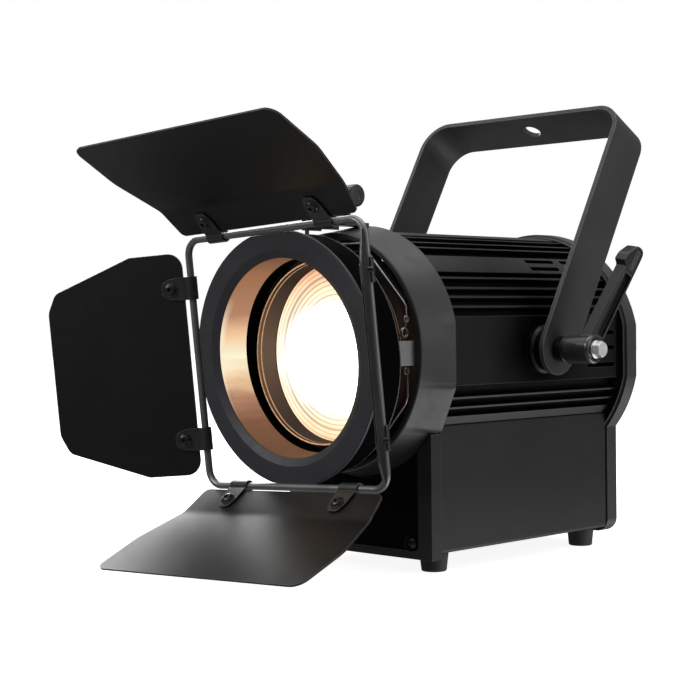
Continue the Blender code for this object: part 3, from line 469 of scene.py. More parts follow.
def lit_glass():
    """Fresnel lens with the lamp burning behind it: white core, cream and copper rings outside."""
    s = Shader("lit_fresnel_glass")
    radius = s.math("MULTIPLY", s.reach(AXIS_POINT, (1.0, 0.0, 1.0)), 1000.0)
    reach = s.reach(AXIS_POINT + Vector((4.0, 0, -3.0)) * MM, (0.61, 0.0, 1.0))
    wobble = s.math("MULTIPLY", s.math("SUBTRACT", s.noise(16.0, 3.0), 0.5), 9.0)
    level = s.math("DIVIDE", s.math("ADD", s.math("MULTIPLY", reach, 1000.0), wobble), 64.0)
    glow = s.ramp(level, [(0.0, (1.0, 1.0, 0.97)), (0.50, (1.0, 0.98, 0.90)), (0.60, (1.0, 0.91, 0.72)),
                          (0.72, (1.0, 0.79, 0.54)), (0.84, (0.92, 0.60, 0.38)), (0.93, (0.74, 0.40, 0.23)),
                          (1.0, (0.42, 0.18, 0.09))])
    line = s.node("ShaderNodeCombineXYZ", {"X": s.math("MULTIPLY", radius, MM)}).outputs[0]
    bands = s.span(s.noise(5.0, 3.0, 0.6, line), 0.36, 0.64, 0.98, 1.62)
    step = s.math("ABSOLUTE", s.math("SUBTRACT", s.math("FRACT", s.math("DIVIDE", radius, 3.4)), 0.62))
    bands = s.math("MULTIPLY", bands, s.span(step, 0.06, 0.20, 0.56, 1.0))
    power = s.math("MULTIPLY", s.span(level, 0.44, 0.64, 2.4, 1.0), bands)
    seen = s.node("ShaderNodeLightPath").outputs["Is Camera Ray"]
    power = s.math("MULTIPLY", power, s.span(seen, 0.0, 1.0, 0.08, 1.0))
    s.set(Base_Color=(0.40, 0.30, 0.20, 1.0), Roughness=0.12, Normal=s.bump(s.noise(2.5, 2.0), 0.05, 0.3))
    s.glow(glow, power)
    return s.mat


def lit_wall():
    """Matt black tube wall, washed copper by the lamp light that falls along it."""
    s = Shader("lit_tube_wall")
    streak = s.noise(7.0, 5.0, 0.6, s.stretched((1.0, 0.25, 1.0)))
    parts = s.from_point(AXIS_POINT)
    warp = s.math("MULTIPLY", s.math("SUBTRACT", streak, 0.5), 0.012)
    height = s.span(s.math("ADD", parts["Z"], warp), -0.066, 0.066)
    glow = s.ramp(height, [(0.0, (0.13, 0.060, 0.030)), (0.15, (0.20, 0.092, 0.046)),
                           (0.27, (0.45, 0.23, 0.14)), (0.36, (0.90, 0.62, 0.36)), (0.48, (1.0, 0.96, 0.68)),
                           (0.60, (0.92, 0.58, 0.34)), (0.70, (0.46, 0.23, 0.13)), (0.90, (0.34, 0.15, 0.074)),
                           (1.0, (0.12, 0.06, 0.035))])
    front = s.span(parts["Y"], 0.0078, 0.0032)
    middle = s.span(s.math("ABSOLUTE", s.math("ADD", parts["Z"], 0.004)), 0.042, 0.012)
    glow = s.mix(s.math("MULTIPLY", front, middle), glow, (1.0, 0.86, 0.66, 1.0))
    s.set(Base_Color=(0.050, 0.024, 0.014, 1.0), Roughness=s.span(streak, 0.3, 0.7, 0.40, 0.55),
          Normal=s.bump(streak, 0.04, 0.5))
    s.glow(glow, s.span(streak, 0.3, 0.7, 0.90, 1.0))
    return s.mat


def lit_hood():
    """Blackened inside of the lens hood, warmed by the lens beside it."""
    s = Shader("lit_hood_inside")
    grain = s.noise(1.2, 4.0)
    height = s.math("ABSOLUTE", s.from_point(AXIS_POINT)["Z"])
    s.set(Base_Color=s.mix(s.span(grain, 0.3, 0.7), (0.024, 0.022, 0.020, 1), (0.036, 0.033, 0.030, 1)),
          Roughness=0.55, Normal=s.bump(grain, 0.03, 0.5))
    s.glow((0.115, 0.070, 0.045, 1.0), s.span(height, 0.006, 0.050, 1.0, 0.20))
    return s.mat


def lit_tray():
    """Blackened tray beside the lens, with a trace of the lamp's spill on its middle."""
    s = Shader("lit_accessory_tray")
    grain = s.noise(6.0, 4.0)
    height = s.math("ABSOLUTE", s.from_point(AXIS_POINT)["Z"])
    s.set(Base_Color=s.mix(s.span(grain, 0.3, 0.7), (0.0025, 0.0018, 0.0016, 1), (0.006, 0.004, 0.0035, 1)),
          Roughness=0.6, Normal=s.bump(grain, 0.03, 0.5))
    power = s.math("MULTIPLY", s.span(grain, 0.3, 0.7, 0.4, 1.0), s.span(height, 0.006, 0.042, 1.0, 0.0))
    s.glow((0.016, 0.0048, 0.0022, 1.0), power)
    return s.mat


def lit_ridge():
    """Edges of the lens hood that catch the lamp light."""
    s = Shader("lit_hood_ridge")
    spots = s.noise(3.0, 3.0)
    s.set(Base_Color=(0.20, 0.11, 0.06, 1.0), Roughness=s.span(spots, 0.3, 0.7, 0.3, 0.45),
          Normal=s.bump(spots, 0.03, 0.4))
    s.glow((0.78, 0.42, 0.20, 1.0), s.span(spots, 0.3, 0.7, 0.45, 0.85))
    return s.mat


def make_materials():
    powder = dict(grain_mm=0.9, grain_depth=0.10, gloss=0.34)
    return {
        "leaf": coat("leaf_powder_coat", 0.0032, 0.0048, 0.43, edge=0.22, edge_mm=0.6, smear=0.25, **powder),
        # Base: painted floor light low down on its sides.
        "base": coat("base_powder_coat", 0.011, 0.014, 0.50, edge=0.12, edge_mm=0.7, smear=0.6, painted_floor_light=0.55,
                     **powder),
        # Cover: a lighter copy of the satin black paint, painted light on its sides.
        "cover": coat("lightened_cover_satin_paint", 0.034, 0.044, 0.42, 0.6, 0.03, edge=0.16, edge_mm=0.6, gloss=0.5),
        "yoke": coat("yoke_powder_coat", 0.036, 0.045, 0.50, edge=0.26, edge_mm=0.9, **powder),
        "anodised": coat("black_anodised", 0.0032, 0.0050, 0.38, 0.35, 0.02, edge=0.14, edge_mm=0.4,
                         metal=0.15, gloss=0.42),
        # Side panel: a darker, less glossy copy of the anodising, painted shade, with a painted dark halo
        # round the pivot.
        "panel": coat("shaded_anodised_side_panel", 0.0020, 0.0034, 0.42, 0.35, 0.02, edge=0.10, edge_mm=0.4,
                      gloss=0.22, pivot_shade=True),
        "warm": lit_tray(),
        "satin": coat("satin_black_paint", 0.022, 0.029, 0.42, 0.6, 0.03, edge=0.16, edge_mm=0.6, gloss=0.5),
        # Bezel: the same satin paint with stronger edge lightening, a painted highlight for its bright lip
        # line.
        "bezel": coat("bezel_satin_paint", 0.022, 0.029, 0.42, 0.6, 0.03, edge=0.34, edge_mm=1.0, gloss=0.5),
        "ring": coat("matt_ring_paint", 0.030, 0.038, 0.50, 0.6, 0.04, edge=0.14, edge_mm=0.5, gloss=0.45,
                     tint=(0.95, 0.97, 1.12)),
        "wire": coat("satin_steel_wire", 0.17, 0.22, 0.36, 1.2, 0.03, edge=0.26, metal=0.6, gloss=0.6),
        "strap": coat("painted_steel_strap", 0.020, 0.030, 0.34, 0.8, 0.03, edge=0.16, edge_mm=0.5,
                      gloss=0.5),
        "screw": coat("black_oxide_screw", 0.030, 0.045, 0.24, 0.6, 0.02, edge=0.30, edge_mm=0.3, metal=0.6,
                      gloss=0.7),
        "plastic": coat("moulded_black_plastic", 0.007, 0.010, 0.32, 0.7, 0.02, edge=0.06, edge_mm=0.5,
                        gloss=0.55),
        "grip": coat("textured_black_plastic", 0.012, 0.017, 0.34, 0.5, 0.06, edge=0.36, edge_mm=0.8,
                     gloss=0.45),
        "rubber": coat("black_rubber", 0.034, 0.046, 0.66, 1.4, 0.06, edge=0.05, gloss=0.3),
        "button": coat("grey_silicone_key", 0.10, 0.13, 0.6, 0.8, 0.03, edge=0.2, gloss=0.3),
        "zinc": bare_metal("zinc_plated_bolt", (0.96, 0.95, 0.93), 0.44, 1.0),
        "steel": bare_metal("ground_steel_rod", (0.55, 0.55, 0.56), 0.26, 0.8, (1.0, 0.15, 1.0)),
        "aluminium": bare_metal("plain_aluminium", (0.50, 0.50, 0.51), 0.38, 0.9, (1.0, 0.1, 1.0)),
        "spring": bare_metal("spring_wire", (0.30, 0.295, 0.29), 0.36, 0.8),
        "contact": bare_metal("contact_metal", (0.72, 0.62, 0.40), 0.25, 0.7),
        "display": display_material(),
        "led": led_material(),
        "lens": lit_glass(),
        "wall": lit_wall(),
        "ridge": lit_ridge(),
        "hood": lit_hood(),
        "dark": coat("unlit_black", 0.0012, 0.0020, 0.80, 0.8, 0.03, edge=0.004, edge_mm=0.3, gloss=0.02),
        # Painted shade: a near-black, barely glossy copy of the anodising for fin grooves and the base's front
        # recess.
        "groove": coat("painted_shade_groove", 0.0012, 0.0020, 0.55, 0.4, 0.02, edge=0.003, edge_mm=0.2,
                       gloss=0.06),
        "hub": coat("polished_black_hub", 0.024, 0.034, 0.17, 0.7, 0.006, edge=0.18, edge_mm=0.5, gloss=0.9),
        "boss": coat("dark_friction_disc", 0.0025, 0.0040, 0.22, 0.7, 0.01, edge=0.14, edge_mm=0.35,
                     gloss=0.35),
        "tab": coat("bare_steel_tab", 0.16, 0.22, 0.36, 0.8, 0.02, edge=0.30, edge_mm=0.4, metal=0.5,
                    gloss=0.6),
    }


def display_material():
    """Dark tinted window with a faint cell grid under it."""
    s = Shader("tinted_display_window")
    cells = s.node("ShaderNodeTexBrick", {"Vector": s.node(
        "ShaderNodeMapping", {"Vector": s.coords, "Rotation": (math.radians(90), 0, 0)}).outputs[0],
        "Scale": 120.0, "Color1": (0.006, 0.012, 0.024, 1), "Color2": (0.008, 0.016, 0.030, 1),
        "Mortar": (0.003, 0.005, 0.010, 1), "Mortar Size": 0.012}, offset=0.0)
    smear = s.noise(8.0, 4.0)
    s.set(Base_Color=cells.outputs["Color"], Roughness=s.span(smear, 0.3, 0.7, 0.06, 0.16),
          Normal=s.bump(smear, 0.01, 0.2))
    return s.mat


def led_material():
    """Phosphor module, lit."""
    s = Shader("lit_led_module")
    grain = s.noise(0.8, 3.0)
    base = s.mix(s.span(grain, 0.3, 0.7), (0.9, 0.72, 0.30, 1.0), (0.95, 0.82, 0.45, 1.0))
    s.set(Base_Color=base, Roughness=s.span(grain, 0.3, 0.7, 0.35, 0.5), Normal=s.bump(grain, 0.03, 0.5))
    s.glow((1.0, 0.86, 0.58, 1.0), 3.0)
    return s.mat


MATS = make_materials()


# ---- housing ------------------------------------------------------------------------
BODY_R, BODY_INNER_R, BODY_FRONT, BODY_REAR = 83.0, 70.0, 78.0, 264.1
SIDES = ((62, 90), (-90, -62))              # through the housing wall on either side, in X
PANEL_LOW, PANEL_HIGH = -15.8, 16.6         # the smooth side panel, in degrees above the axis
REAR_VENT = (226.8, 259.8)
PIVOT_HOLE_R = 4.3
SCREW_OFFSET = 64.5                         # zoom screw below the optical axis
SHOULDER_Z = 98.8
FIN_DEPTH = 5.0
LOW_STRIP = -31.4
LOW_FINS = (-26.9, -21.8)
SIDE_FINS = (21.1, 26.1, 30.8, 36.6)
TOP_FINS = (58.3, 63.8, 70.5)


def fin_group(low, high, fins):
    """Outline through grooves and round-tipped fins, from smooth skin to smooth skin."""
    tip = 0.62
    ease = 0.3
    edges = [low]
    for fin in fins:
        edges += [fin - tip, fin + tip]
    edges.append(high)
    floor = BODY_R - FIN_DEPTH
    points = []
    for start, end in zip(edges[0::2], edges[1::2]):
        points += [polar(BODY_R, start - ease), polar(BODY_R - 0.1, start - ease * 0.4),
                   polar(BODY_R - 0.45, start), polar(floor + 0.6, start), polar(floor, start + 0.5)]
        points += [polar(floor, start + (end - start) * k / 4) for k in range(1, 4)]
        points += [polar(floor, end - 0.5), polar(floor + 0.6, end), polar(BODY_R - 0.45, end),
                   polar(BODY_R - 0.1, end + ease * 0.4), polar(BODY_R, end + ease)]
    return points


def body_outline():
    foot_z = SHOULDER_Z - AXIS_Z
    foot = math.degrees(math.asin(foot_z / BODY_R))
    inner = math.degrees(math.asin(foot_z / BODY_INNER_R))
    side = arc((0, 0), BODY_R, foot, LOW_STRIP - 0.6, 4)
    side += fin_group(LOW_STRIP, PANEL_LOW, LOW_FINS)
    side += fin_group(PANEL_HIGH, 40.2, SIDE_FINS)
    side += arc((0, 0), BODY_R, 40.9, 50.7, 9)
    side += fin_group(51.4, 74.4, TOP_FINS)
    side += arc((0, 0), BODY_R, 75.0, 90, 14)
    mirrored = [(-x, z) for x, z in reversed(side[:-1])]
    hollow = arc((0, 0), BODY_INNER_R, 180 - inner, inner, 90)
    return [(x, z + AXIS_Z) for x, z in side + mirrored + hollow]


def slot_cut(y0, y1, half, reach0, reach1, angle):
    """A round-ended slot along Y, cut at an angle about the optical axis."""
    outline = rounded(rect(y0, y1, -half, half), half * 0.92, 6)
    bm = extrude(outline, reach0, reach1, "X")
    return move(bm, Matrix.Translation((0, 0, AXIS_Z)) @ Matrix.Rotation(math.radians(-angle), 4, "Y"))


def flat_side(point):
    """On the smooth side panel, between the two groups of fins."""
    angle = math.degrees(math.atan2(point.z - AXIS_Z, abs(point.x)))
    return PANEL_LOW - 0.1 < angle < PANEL_HIGH + 0.1 and abs(point.x) > 79.2


def rear_screw(x, z, flat_r=2.2, rim_r=2.6, depth=1.0, lip=0.4, steps=20):
    """A dished screw head on the rear cover, drawn facing forwards."""
    profile = [(0, -depth), (flat_r, -depth), (rim_r, -lip), (rim_r, 0.2), (0, 0.2)]
    return shifted(lathe(profile, steps, closed=False), x, COVER_REAR + 0.2, z)


def make_housing():
    cuts = []
    for angle in (48.5, 43.3):
        for side in (angle, 180 - angle):
            for y0, y1 in ((186.3, 219.3), REAR_VENT):
                cuts.append(slot_cut(y0, y1, 1.9, BODY_INNER_R - 4, BODY_R + 4, side))
    for z in (158.0, 146.9, 134.6):
        for x0, x1 in SIDES:
            cuts.append(shifted(extrude(rounded(rect(*REAR_VENT, -1.6, 1.6), 1.4, 6), x0, x1, "X"), z=z))
    for x0, x1 in SIDES:
        cuts.append(extrude(circle((PIVOT_Y, AXIS_Z), PIVOT_HOLE_R, 24), x0, x1, "X"))
    body = carve(extrude(body_outline(), BODY_FRONT, BODY_REAR), join(*cuts))
    obj = lamp_piece("housing_shell", body, "anodised", ["heat_sink_housing"], 34)

    def look(centre, normal):
        if flat_side(centre):
            # The smooth side panel takes the shaded copy of the anodising.
            return 2
        # Fin grooves take the painted shade slot.
        return BODY_R - FIN_DEPTH - 1.2 < off_axis(centre) < BODY_R - 0.5

    paint(obj, LAMP, ["groove", "panel"], look)
    spots = [polar(76.5, angle) for angle in (22, 67, 113, 158)]
    return [rear_screw(x, AXIS_Z + z) for x, z in spots]


# ---- bezel --------------------------------------------------------------------------
BEZEL_FRONT, BEZEL_REAR, BEZEL_INNER_R = 45.8, 77.7, 77.0
BEZEL_FRONT_R, BEZEL_REAR_R, BEZEL_FLAT_X = 81.5, 86.5, 84.2
FACET_START, FACET_MIDDLE, FACET_END, FACET_REACH = -15.3, -24.1, -36.1, 86.35
FACET_EASE = 2.6                            # degrees over which the facet runs out


def bezel_radius(r, t, angle):
    """Circle at the front that blends into flat sides and lower facets at the rear."""
    if r <= BEZEL_INNER_R + 1.5:
        return r
    if angle > 180:
        angle -= 360
    side = angle if abs(angle) <= 90 else math.copysign(180, angle) - angle
    if side < FACET_START:
        reach = FACET_REACH / math.cos(math.radians(max(side, FACET_END) - FACET_MIDDLE))
        if side < FACET_END:
            reach += (BEZEL_REAR_R - reach) * min(1.0, (FACET_END - side) / FACET_EASE)
    else:
        reach = min(BEZEL_REAR_R, BEZEL_FLAT_X / max(0.1, math.cos(math.radians(side))))
    share = min(1.0, max(0.0, (t - BEZEL_FRONT) / (BEZEL_REAR - BEZEL_FRONT)))
    return r + (reach - BEZEL_REAR_R) * share


def make_bezel():
    lip = 1.5
    profile = [(BEZEL_INNER_R, 74.7), (BEZEL_INNER_R, BEZEL_FRONT + 1.2)]
    profile += arc((BEZEL_INNER_R + 1.0, BEZEL_FRONT + 1.0), 1.0, 180, 270, 4)
    profile += arc((BEZEL_FRONT_R - lip, BEZEL_FRONT + lip), lip, -90, 0, 8)
    profile += [(BEZEL_FRONT_R + (BEZEL_REAR_R - BEZEL_FRONT_R) * k / 8, 49 + 27.4 * k / 8)
                for k in range(1, 9)]
    profile += [(BEZEL_REAR_R - 0.15, 76.9), (BEZEL_REAR_R - 0.6, 77.4), (BEZEL_REAR_R - 1.2, BEZEL_REAR),
                (71.5, BEZEL_REAR), (71.5, 74.7)]
    shell = shifted(lathe(profile, 360, radius_of=bezel_radius), z=AXIS_Z)
    lamp_piece("bezel_shell", shell, "bezel", ["front_bezel"], 30)


def octagon(flat, corner):
    quarter = [(flat, -corner), (flat, corner), (corner, flat), (-corner, flat)]
    return [(x, z + AXIS_Z) for x, z in quarter + [(-x, -z) for x, z in quarter]]


def make_holder():
    """Octagonal tray with its tabs, and the spring wire in front of it."""
    wall = 1.2
    tray = extrude(rounded(octagon(68.0, 35.0), 3.0, 4), 44.5, 52.0)
    for y0, y1 in ((43, 46.5), (48, 54)):
        tray = carve(tray, extrude(rounded(octagon(68 - wall, 35 - wall * 0.4), 2.4, 4), y0, y1))
    tray = bore(tray, (0, AXIS_Z), 63.5, 40, 60, steps=96)
    tabs = []
    for side in (-1, 1):
        tab = [(67.25, 44.5), (74.6, 44.5), (74.6, 31.5), (70.5, 31.5), (70.5, 30.0), (76.1, 30.0),
               (76.1, 45.7), (67.25, 45.7)]
        tab = rounded([(side * x, y) for x, y in tab], [0, 0, 0.8, 0, 0.5, 1.4, 1.0, 0], 3)
        tabs.append(extrude(tab, AXIS_Z - 8, AXIS_Z + 8, "Z"))
    low = [(44.5, -67.25), (44.5, -75.1), (37.5, -75.1), (37.5, -71.0), (36.0, -71.0), (36.0, -76.6),
           (45.7, -76.6), (45.7, -67.25)]
    tabs.append(extrude([(y, z + AXIS_Z) for y, z in low], -8, 8, "X"))
    tray = bevelled(join(tray, *tabs), 0.25, 2, 50)
    obj = lamp_piece("holder_tray", tray, "warm", ["accessory_holder"], 35)
    paint(obj, LAMP, ["tab"], lambda centre, normal: max(abs(centre.x), abs(centre.z - AXIS_Z)) > 68.4)

    reach, corner, y = 72.2, 30.5, 42.6
    wires = []
    for side in (-1, 1):
        path = [(side * 8, y, 72.6), (side * corner, y, 72.4), (side * (corner + 3), y, 70.8),
                (side * (reach - 3), y, corner + 3), (side * (reach - 1), y, corner),
                (side * (reach - 0.4), y, corner - 9), (side * (reach - 0.4), y - 1.2, corner - 13),
                (side * (reach - 1.8), y - 2.4, corner - 15)]
        wires.append(shifted(sweep(path, 0.75, 10), z=AXIS_Z))
        coil = []
        for i in range(43):
            a, b = polar(3.1, 200 + 360 * 2.1 * i / 42)
            coil.append((side * (70.6 + 0.9 * i / 42 * 2), y - 2.0 + a, 13.2 + b))
        wires.append(shifted(sweep(coil, 0.6, 8), z=AXIS_Z))
        lower = [(side * 72.0, y, -10.5), (side * 72.0, y, -28), (side * 70.4, y, -32.5),
                 (side * 44.0, y, -61.5), (side * 41.0, y, -63.5)]
        wires.append(shifted(sweep(lower, 0.7, 10), z=AXIS_Z))
        for z, radius in ((22.0, 2.0), (-11.5, 2.2)):
            ring = [(side * 72.3, y - 0.8 + radius * math.cos(k * math.tau / 18),
                     z + radius * math.sin(k * math.tau / 18)) for k in range(18)]
            wires.append(shifted(sweep(ring, 0.55, 8, closed=True), z=AXIS_Z))
    lamp_piece("holder_spring_wire", join(*wires), "spring", (), 50)


# ---- base, feet and rear cover ------------------------------------------------------
BASE_HALF_X, BASE_BOTTOM, BASE_TOP, BASE_LIP = 67.4, 12.7, 98.5, 9.0
BASE_FRONT, CASTING_REAR = 69.3, 79.0
FOOT_X, FOOT_Y = 55.1, (85.6, 249.5)
SCREW_X, SCREW_Z = 47.9, 19.0
RECESS_HALF_X = 56.0


def make_base():
    x1, x2, top = BASE_HALF_X, BASE_HALF_X - 2.5, BASE_TOP
    floor = BASE_BOTTOM + 2.5
    outline = [(-x1, BASE_BOTTOM), (x1, BASE_BOTTOM), (x1, top), (x1 - 13, top), (x1 - 13, top - 2.5),
               (x2, top - 2.5), (x2, floor), (-x2, floor), (-x2, top - 2.5), (13 - x1, top - 2.5),
               (13 - x1, top), (-x1, top)]
    radii = [2.5, 2.5, 1.6, 0.4, 0, 1.0, 1.0, 1.0, 1.0, 0, 0.4, 1.6]
    box = extrude(rounded(outline, radii, 6), CASTING_REAR + 0.3, BODY_REAR)
    lamp_piece("base_case", box, "base", ["base_box"], 30)

    half = BASE_HALF_X + 0.7
    plan = [(-half, CASTING_REAR), (-half, BASE_FRONT), (half, BASE_FRONT), (half, CASTING_REAR)]
    front = extrude(plan, BASE_LIP, BASE_TOP, "Z")
    lip = [(CASTING_REAR + 1, BASE_LIP - 1), (CASTING_REAR + 1, BASE_BOTTOM + 0.6)]
    lip += arc((CASTING_REAR - 3.4, BASE_BOTTOM + 0.2), 4.4, 0, -90, 8)
    front = carve(front, extrude(lip + [(CASTING_REAR - 3.4, BASE_LIP - 1)], -80, 80, "X"))
    front = bevelled(front, 2.6, 6, 50)
    front = bore(front, (0, AXIS_Z), BEZEL_REAR_R + 0.7, 60, 90, steps=180)
    recess = rounded(rect(-RECESS_HALF_X, RECESS_HALF_X, BASE_LIP + 5.5, 140), 4, 4)
    front = carve(front, extrude(recess, BASE_FRONT - 1, BASE_FRONT + 0.9))
    for side in (-1, 1):
        front = bore(front, (side * SCREW_X, SCREW_Z), 5.4, BASE_FRONT - 2, BASE_FRONT + 4.5, steps=40)
        front = bore(front, (side * FOOT_X, FOOT_Y[0]), 10.3, 5, BASE_BOTTOM, "Z", 40)
    front = bevelled(front, 0.3, 2, 55)
    obj = lamp_piece("base_front_casting", front, "base", ["base_front"], 35)
    # The front recess takes the painted shade slot.
    paint(obj, LAMP, ["groove"], lambda centre, normal:
          abs(centre.x) < RECESS_HALF_X + 0.1 and centre.y > BASE_FRONT + 0.4 and normal.y < -0.5)

    screws = []
    for side in (-1, 1):
        head = lathe([(0, 1.4), (2.0, 1.5), (3.6, 2.2), (4.2, 3.2), (4.2, 4.4), (0, 4.4)], 32, closed=False)
        for turn in (0, 90):
            bar = extrude(rect(-2.6, 2.6, -0.5, 0.5), 0.8, 2.6)
            head = carve(head, move(bar, Matrix.Rotation(math.radians(turn + 20), 4, "Y")))
        screws.append(shifted(head, side * SCREW_X, BASE_FRONT, SCREW_Z))
    lamp_piece("base_casting_screws", join(*screws), "screw", (), 35)

    for y, end in zip(FOOT_Y, ("front", "rear")):
        for side, hand in ((-1, "left"), (1, "right")):
            profile = [(0, 1.2), (2.6, 1.2), (3.0, 0.2), (7.4, 0.0)]
            profile += arc((7.5, 1.1), 1.1, -90, -8, 5) + [(9.1, 5.5), (9.75, 11.0), (9.9, 12.4), (0, 12.4)]
            foot = shifted(lathe(profile, 56, "Z", False), side * FOOT_X, y)
            lamp_piece(f"foot_{end}_{hand}_rubber", foot, "rubber", [f"foot_{end}_{hand}"], 35)


COVER_FRONT, COVER_REAR, COVER_R, COVER_DROP = 264.4, 280.4, 88.8, 2.8
COVER_HALF_X, COVER_NECK_X = 86.8, 68.0
CONTROL_Z, SOCKET_Z = 83.3, 42.0
KEY_X = {"menu": 20.0, "down": 32.0, "up": 44.0, "enter": 56.0}
DMX_X = {"dmx_input": -46.0, "dmx_output": -14.0}
COVER_CUT = (270, 285)                      # through the back of the cover, in Y


def cover_outline(inset=0.0):
    r, flat, neck = COVER_R - inset, COVER_HALF_X - inset, COVER_NECK_X - inset
    top_angle = math.degrees(math.acos(flat / r))
    neck_angle = -math.degrees(math.acos(neck / r))
    centre_z = AXIS_Z - COVER_DROP
    side = arc((COVER_NECK_X - 10, BASE_LIP + 10), 10 - inset, -90, 0, 10)
    side += arc((0, centre_z), r, neck_angle, -top_angle, 24) + arc((0, centre_z), r, top_angle, 90, 48)
    return side + [(-x, z) for x, z in reversed(side[:-1])]


def make_rear_cover(screws):
    cover = bevelled(extrude(cover_outline(), COVER_FRONT - 6, COVER_REAR), 3.8, 7, 50)
    cover = carve(cover, extrude(rect(-120, 120, -20, 260), COVER_FRONT - 10, COVER_FRONT + 1.9))
    cover = carve(cover, extrude(cover_outline(2.2), COVER_FRONT, COVER_FRONT + 4), "UNION")
    cover = carve(cover, extrude(cover_outline(3.0), COVER_FRONT - 5, COVER_REAR - 3))
    openings = [rounded(rect(-34, 34, z - 2.2, z + 2.2), 2.0, 5)
                for z in (AXIS_Z + (i - 3) * 9.0 for i in range(7))]
    openings.append(rounded(rect(-60.3, -17.7, CONTROL_Z - 9.3, CONTROL_Z + 9.3), 1.2, 4))
    openings.append(rounded(rect(19.7, 52.3, SOCKET_Z - 12.3, SOCKET_Z + 12.3), 1.2, 4))
    openings += [circle((x, CONTROL_Z), 4.1, 48) for x in KEY_X.values()]
    openings += [circle((x, SOCKET_Z), 11.8, 48) for x in DMX_X.values()]
    openings.append(circle((0.0, AXIS_Z - SCREW_OFFSET), 2.3, 48))
    cuts = [extrude(outline, *COVER_CUT) for outline in openings]
    cover = bevelled(carve(cover, join(*cuts)), 0.3, 2, 60)
    lamp_piece("rear_cover_shell", cover, "cover", ["rear_cover"], 35)

    for x in DMX_X.values():
        for dx, dz in ((-9.4, 9.4), (9.4, -9.4)):
            screws.append(rear_screw(x + dx, SOCKET_Z + dz, 1.5, 1.9, 0.7, 0.2, 16))
    for x, z in ((-62, 20), (62, 20), (-62, 62), (62, 62)):
        screws.append(rear_screw(x, z, rim_r=2.7, lip=0.3))
    flip = Matrix.Translation((0, 2 * (COVER_REAR + 0.2), 0)) @ Matrix.Scale(-1, 4, (0, 1, 0))
    lamp_piece("rear_cover_screws", join(*[move(screw, flip) for screw in screws]), "screw", (), 35)

    window = bevelled(extrude(rounded(rect(-60, -18, CONTROL_Z - 9, CONTROL_Z + 9), 1.0, 4),
                              COVER_REAR - 2.6, COVER_REAR - 0.4), 0.3, 2)
    lamp_piece("display_glass", window, "display", ["display_window"])
    for name, x in KEY_X.items():
        profile = [(0, -4.5), (5.0, -4.5), (5.0, -3.9), (3.8, -3.9), (3.8, 0.6)]
        profile += arc((2.9, 0.7), 0.9, 0, 90, 5) + [(1.6, 1.35), (0, 1.2)]
        key = shifted(lathe(profile, 40, closed=False), x, COVER_REAR, CONTROL_Z)
        lamp_piece(f"key_cap_{name}", key, "button", [f"button_{name}"], body=f"key_{name}")
    make_sockets()


def make_sockets():
    for name, x in DMX_X.items():
        male = name == "dmx_input"
        profile = [(0, -16), (11.5, -16), (11.5, 0.8), (11.1, 1.2), (9.5, 1.2), (9.0, 0.8), (9.0, -11),
                   (0, -11)]
        shell = lathe(profile, 64, closed=False)
        shell = carve(shell, extrude(rect(-1.2, 1.2, 8.2, 10.4), -9, 3))
        if not male:
            core = lathe([(0, -11.2), (7.4, -11.2), (7.4, -0.8), (7.0, -0.4), (0, -0.4)], 48, closed=False)
            for k in range(3):
                core = bore(core, polar(4.0, 90 + 90 * (k - 1) + 180), 1.1, -6, 1, steps=16)
            shell = join(shell, core)
        lamp_piece(f"{name}_shell", shifted(shell, x, COVER_REAR, SOCKET_Z), "plastic", [name], 35)
        if male:
            pins = []
            for k in range(3):
                px, pz = polar(4.0, 90 * k + 180)
                pin = [(0, -11), (0.95, -11), (0.95, -2.6), (0.5, -2.0), (0, -1.9)]
                pins.append(shifted(lathe(pin, 14, closed=False), px, 0, pz))
            lamp_piece("dmx_input_pins", shifted(join(*pins), x, COVER_REAR, SOCKET_Z), "contact")
    inlet = extrude(rounded(rect(20, 52, SOCKET_Z - 12, SOCKET_Z + 12), 1, 4), COVER_REAR - 18,
                    COVER_REAR + 1.2)
    well = [(23.5, SOCKET_Z - 8.5), (48.5, SOCKET_Z - 8.5), (48.5, SOCKET_Z + 4), (44.0, SOCKET_Z + 8.5),
            (28.0, SOCKET_Z + 8.5), (23.5, SOCKET_Z + 4)]
    inlet = carve(inlet, extrude(rounded(well, 1.0, 3), COVER_REAR - 14, COVER_REAR + 3))
    lamp_piece("power_inlet_shell", bevelled(inlet, 0.3, 2, 50), "plastic", ["power_inlet"], 35)
    blades = []
    for dx, dz in ((-7.0, -2.0), (0.0, 2.2), (7.0, -2.0)):
        outline = rect(36 + dx - 1.0, 36 + dx + 1.0, SOCKET_Z + dz - 2.0, SOCKET_Z + dz + 2.0)
        blade = extrude(rounded(outline, 0.5, 3), COVER_REAR - 14.2, COVER_REAR - 3.0)
        blades.append(bevelled(blade, 0.25, 2, 50))
    lamp_piece("power_inlet_blades", join(*blades), "zinc")


# ---- lens ---------------------------------------------------------------------------
LENS_FRONT, LENS_R, LENS_BODY = 50.6, 62.0, "lens_carriage_body"
RING_PITCH = 3.4


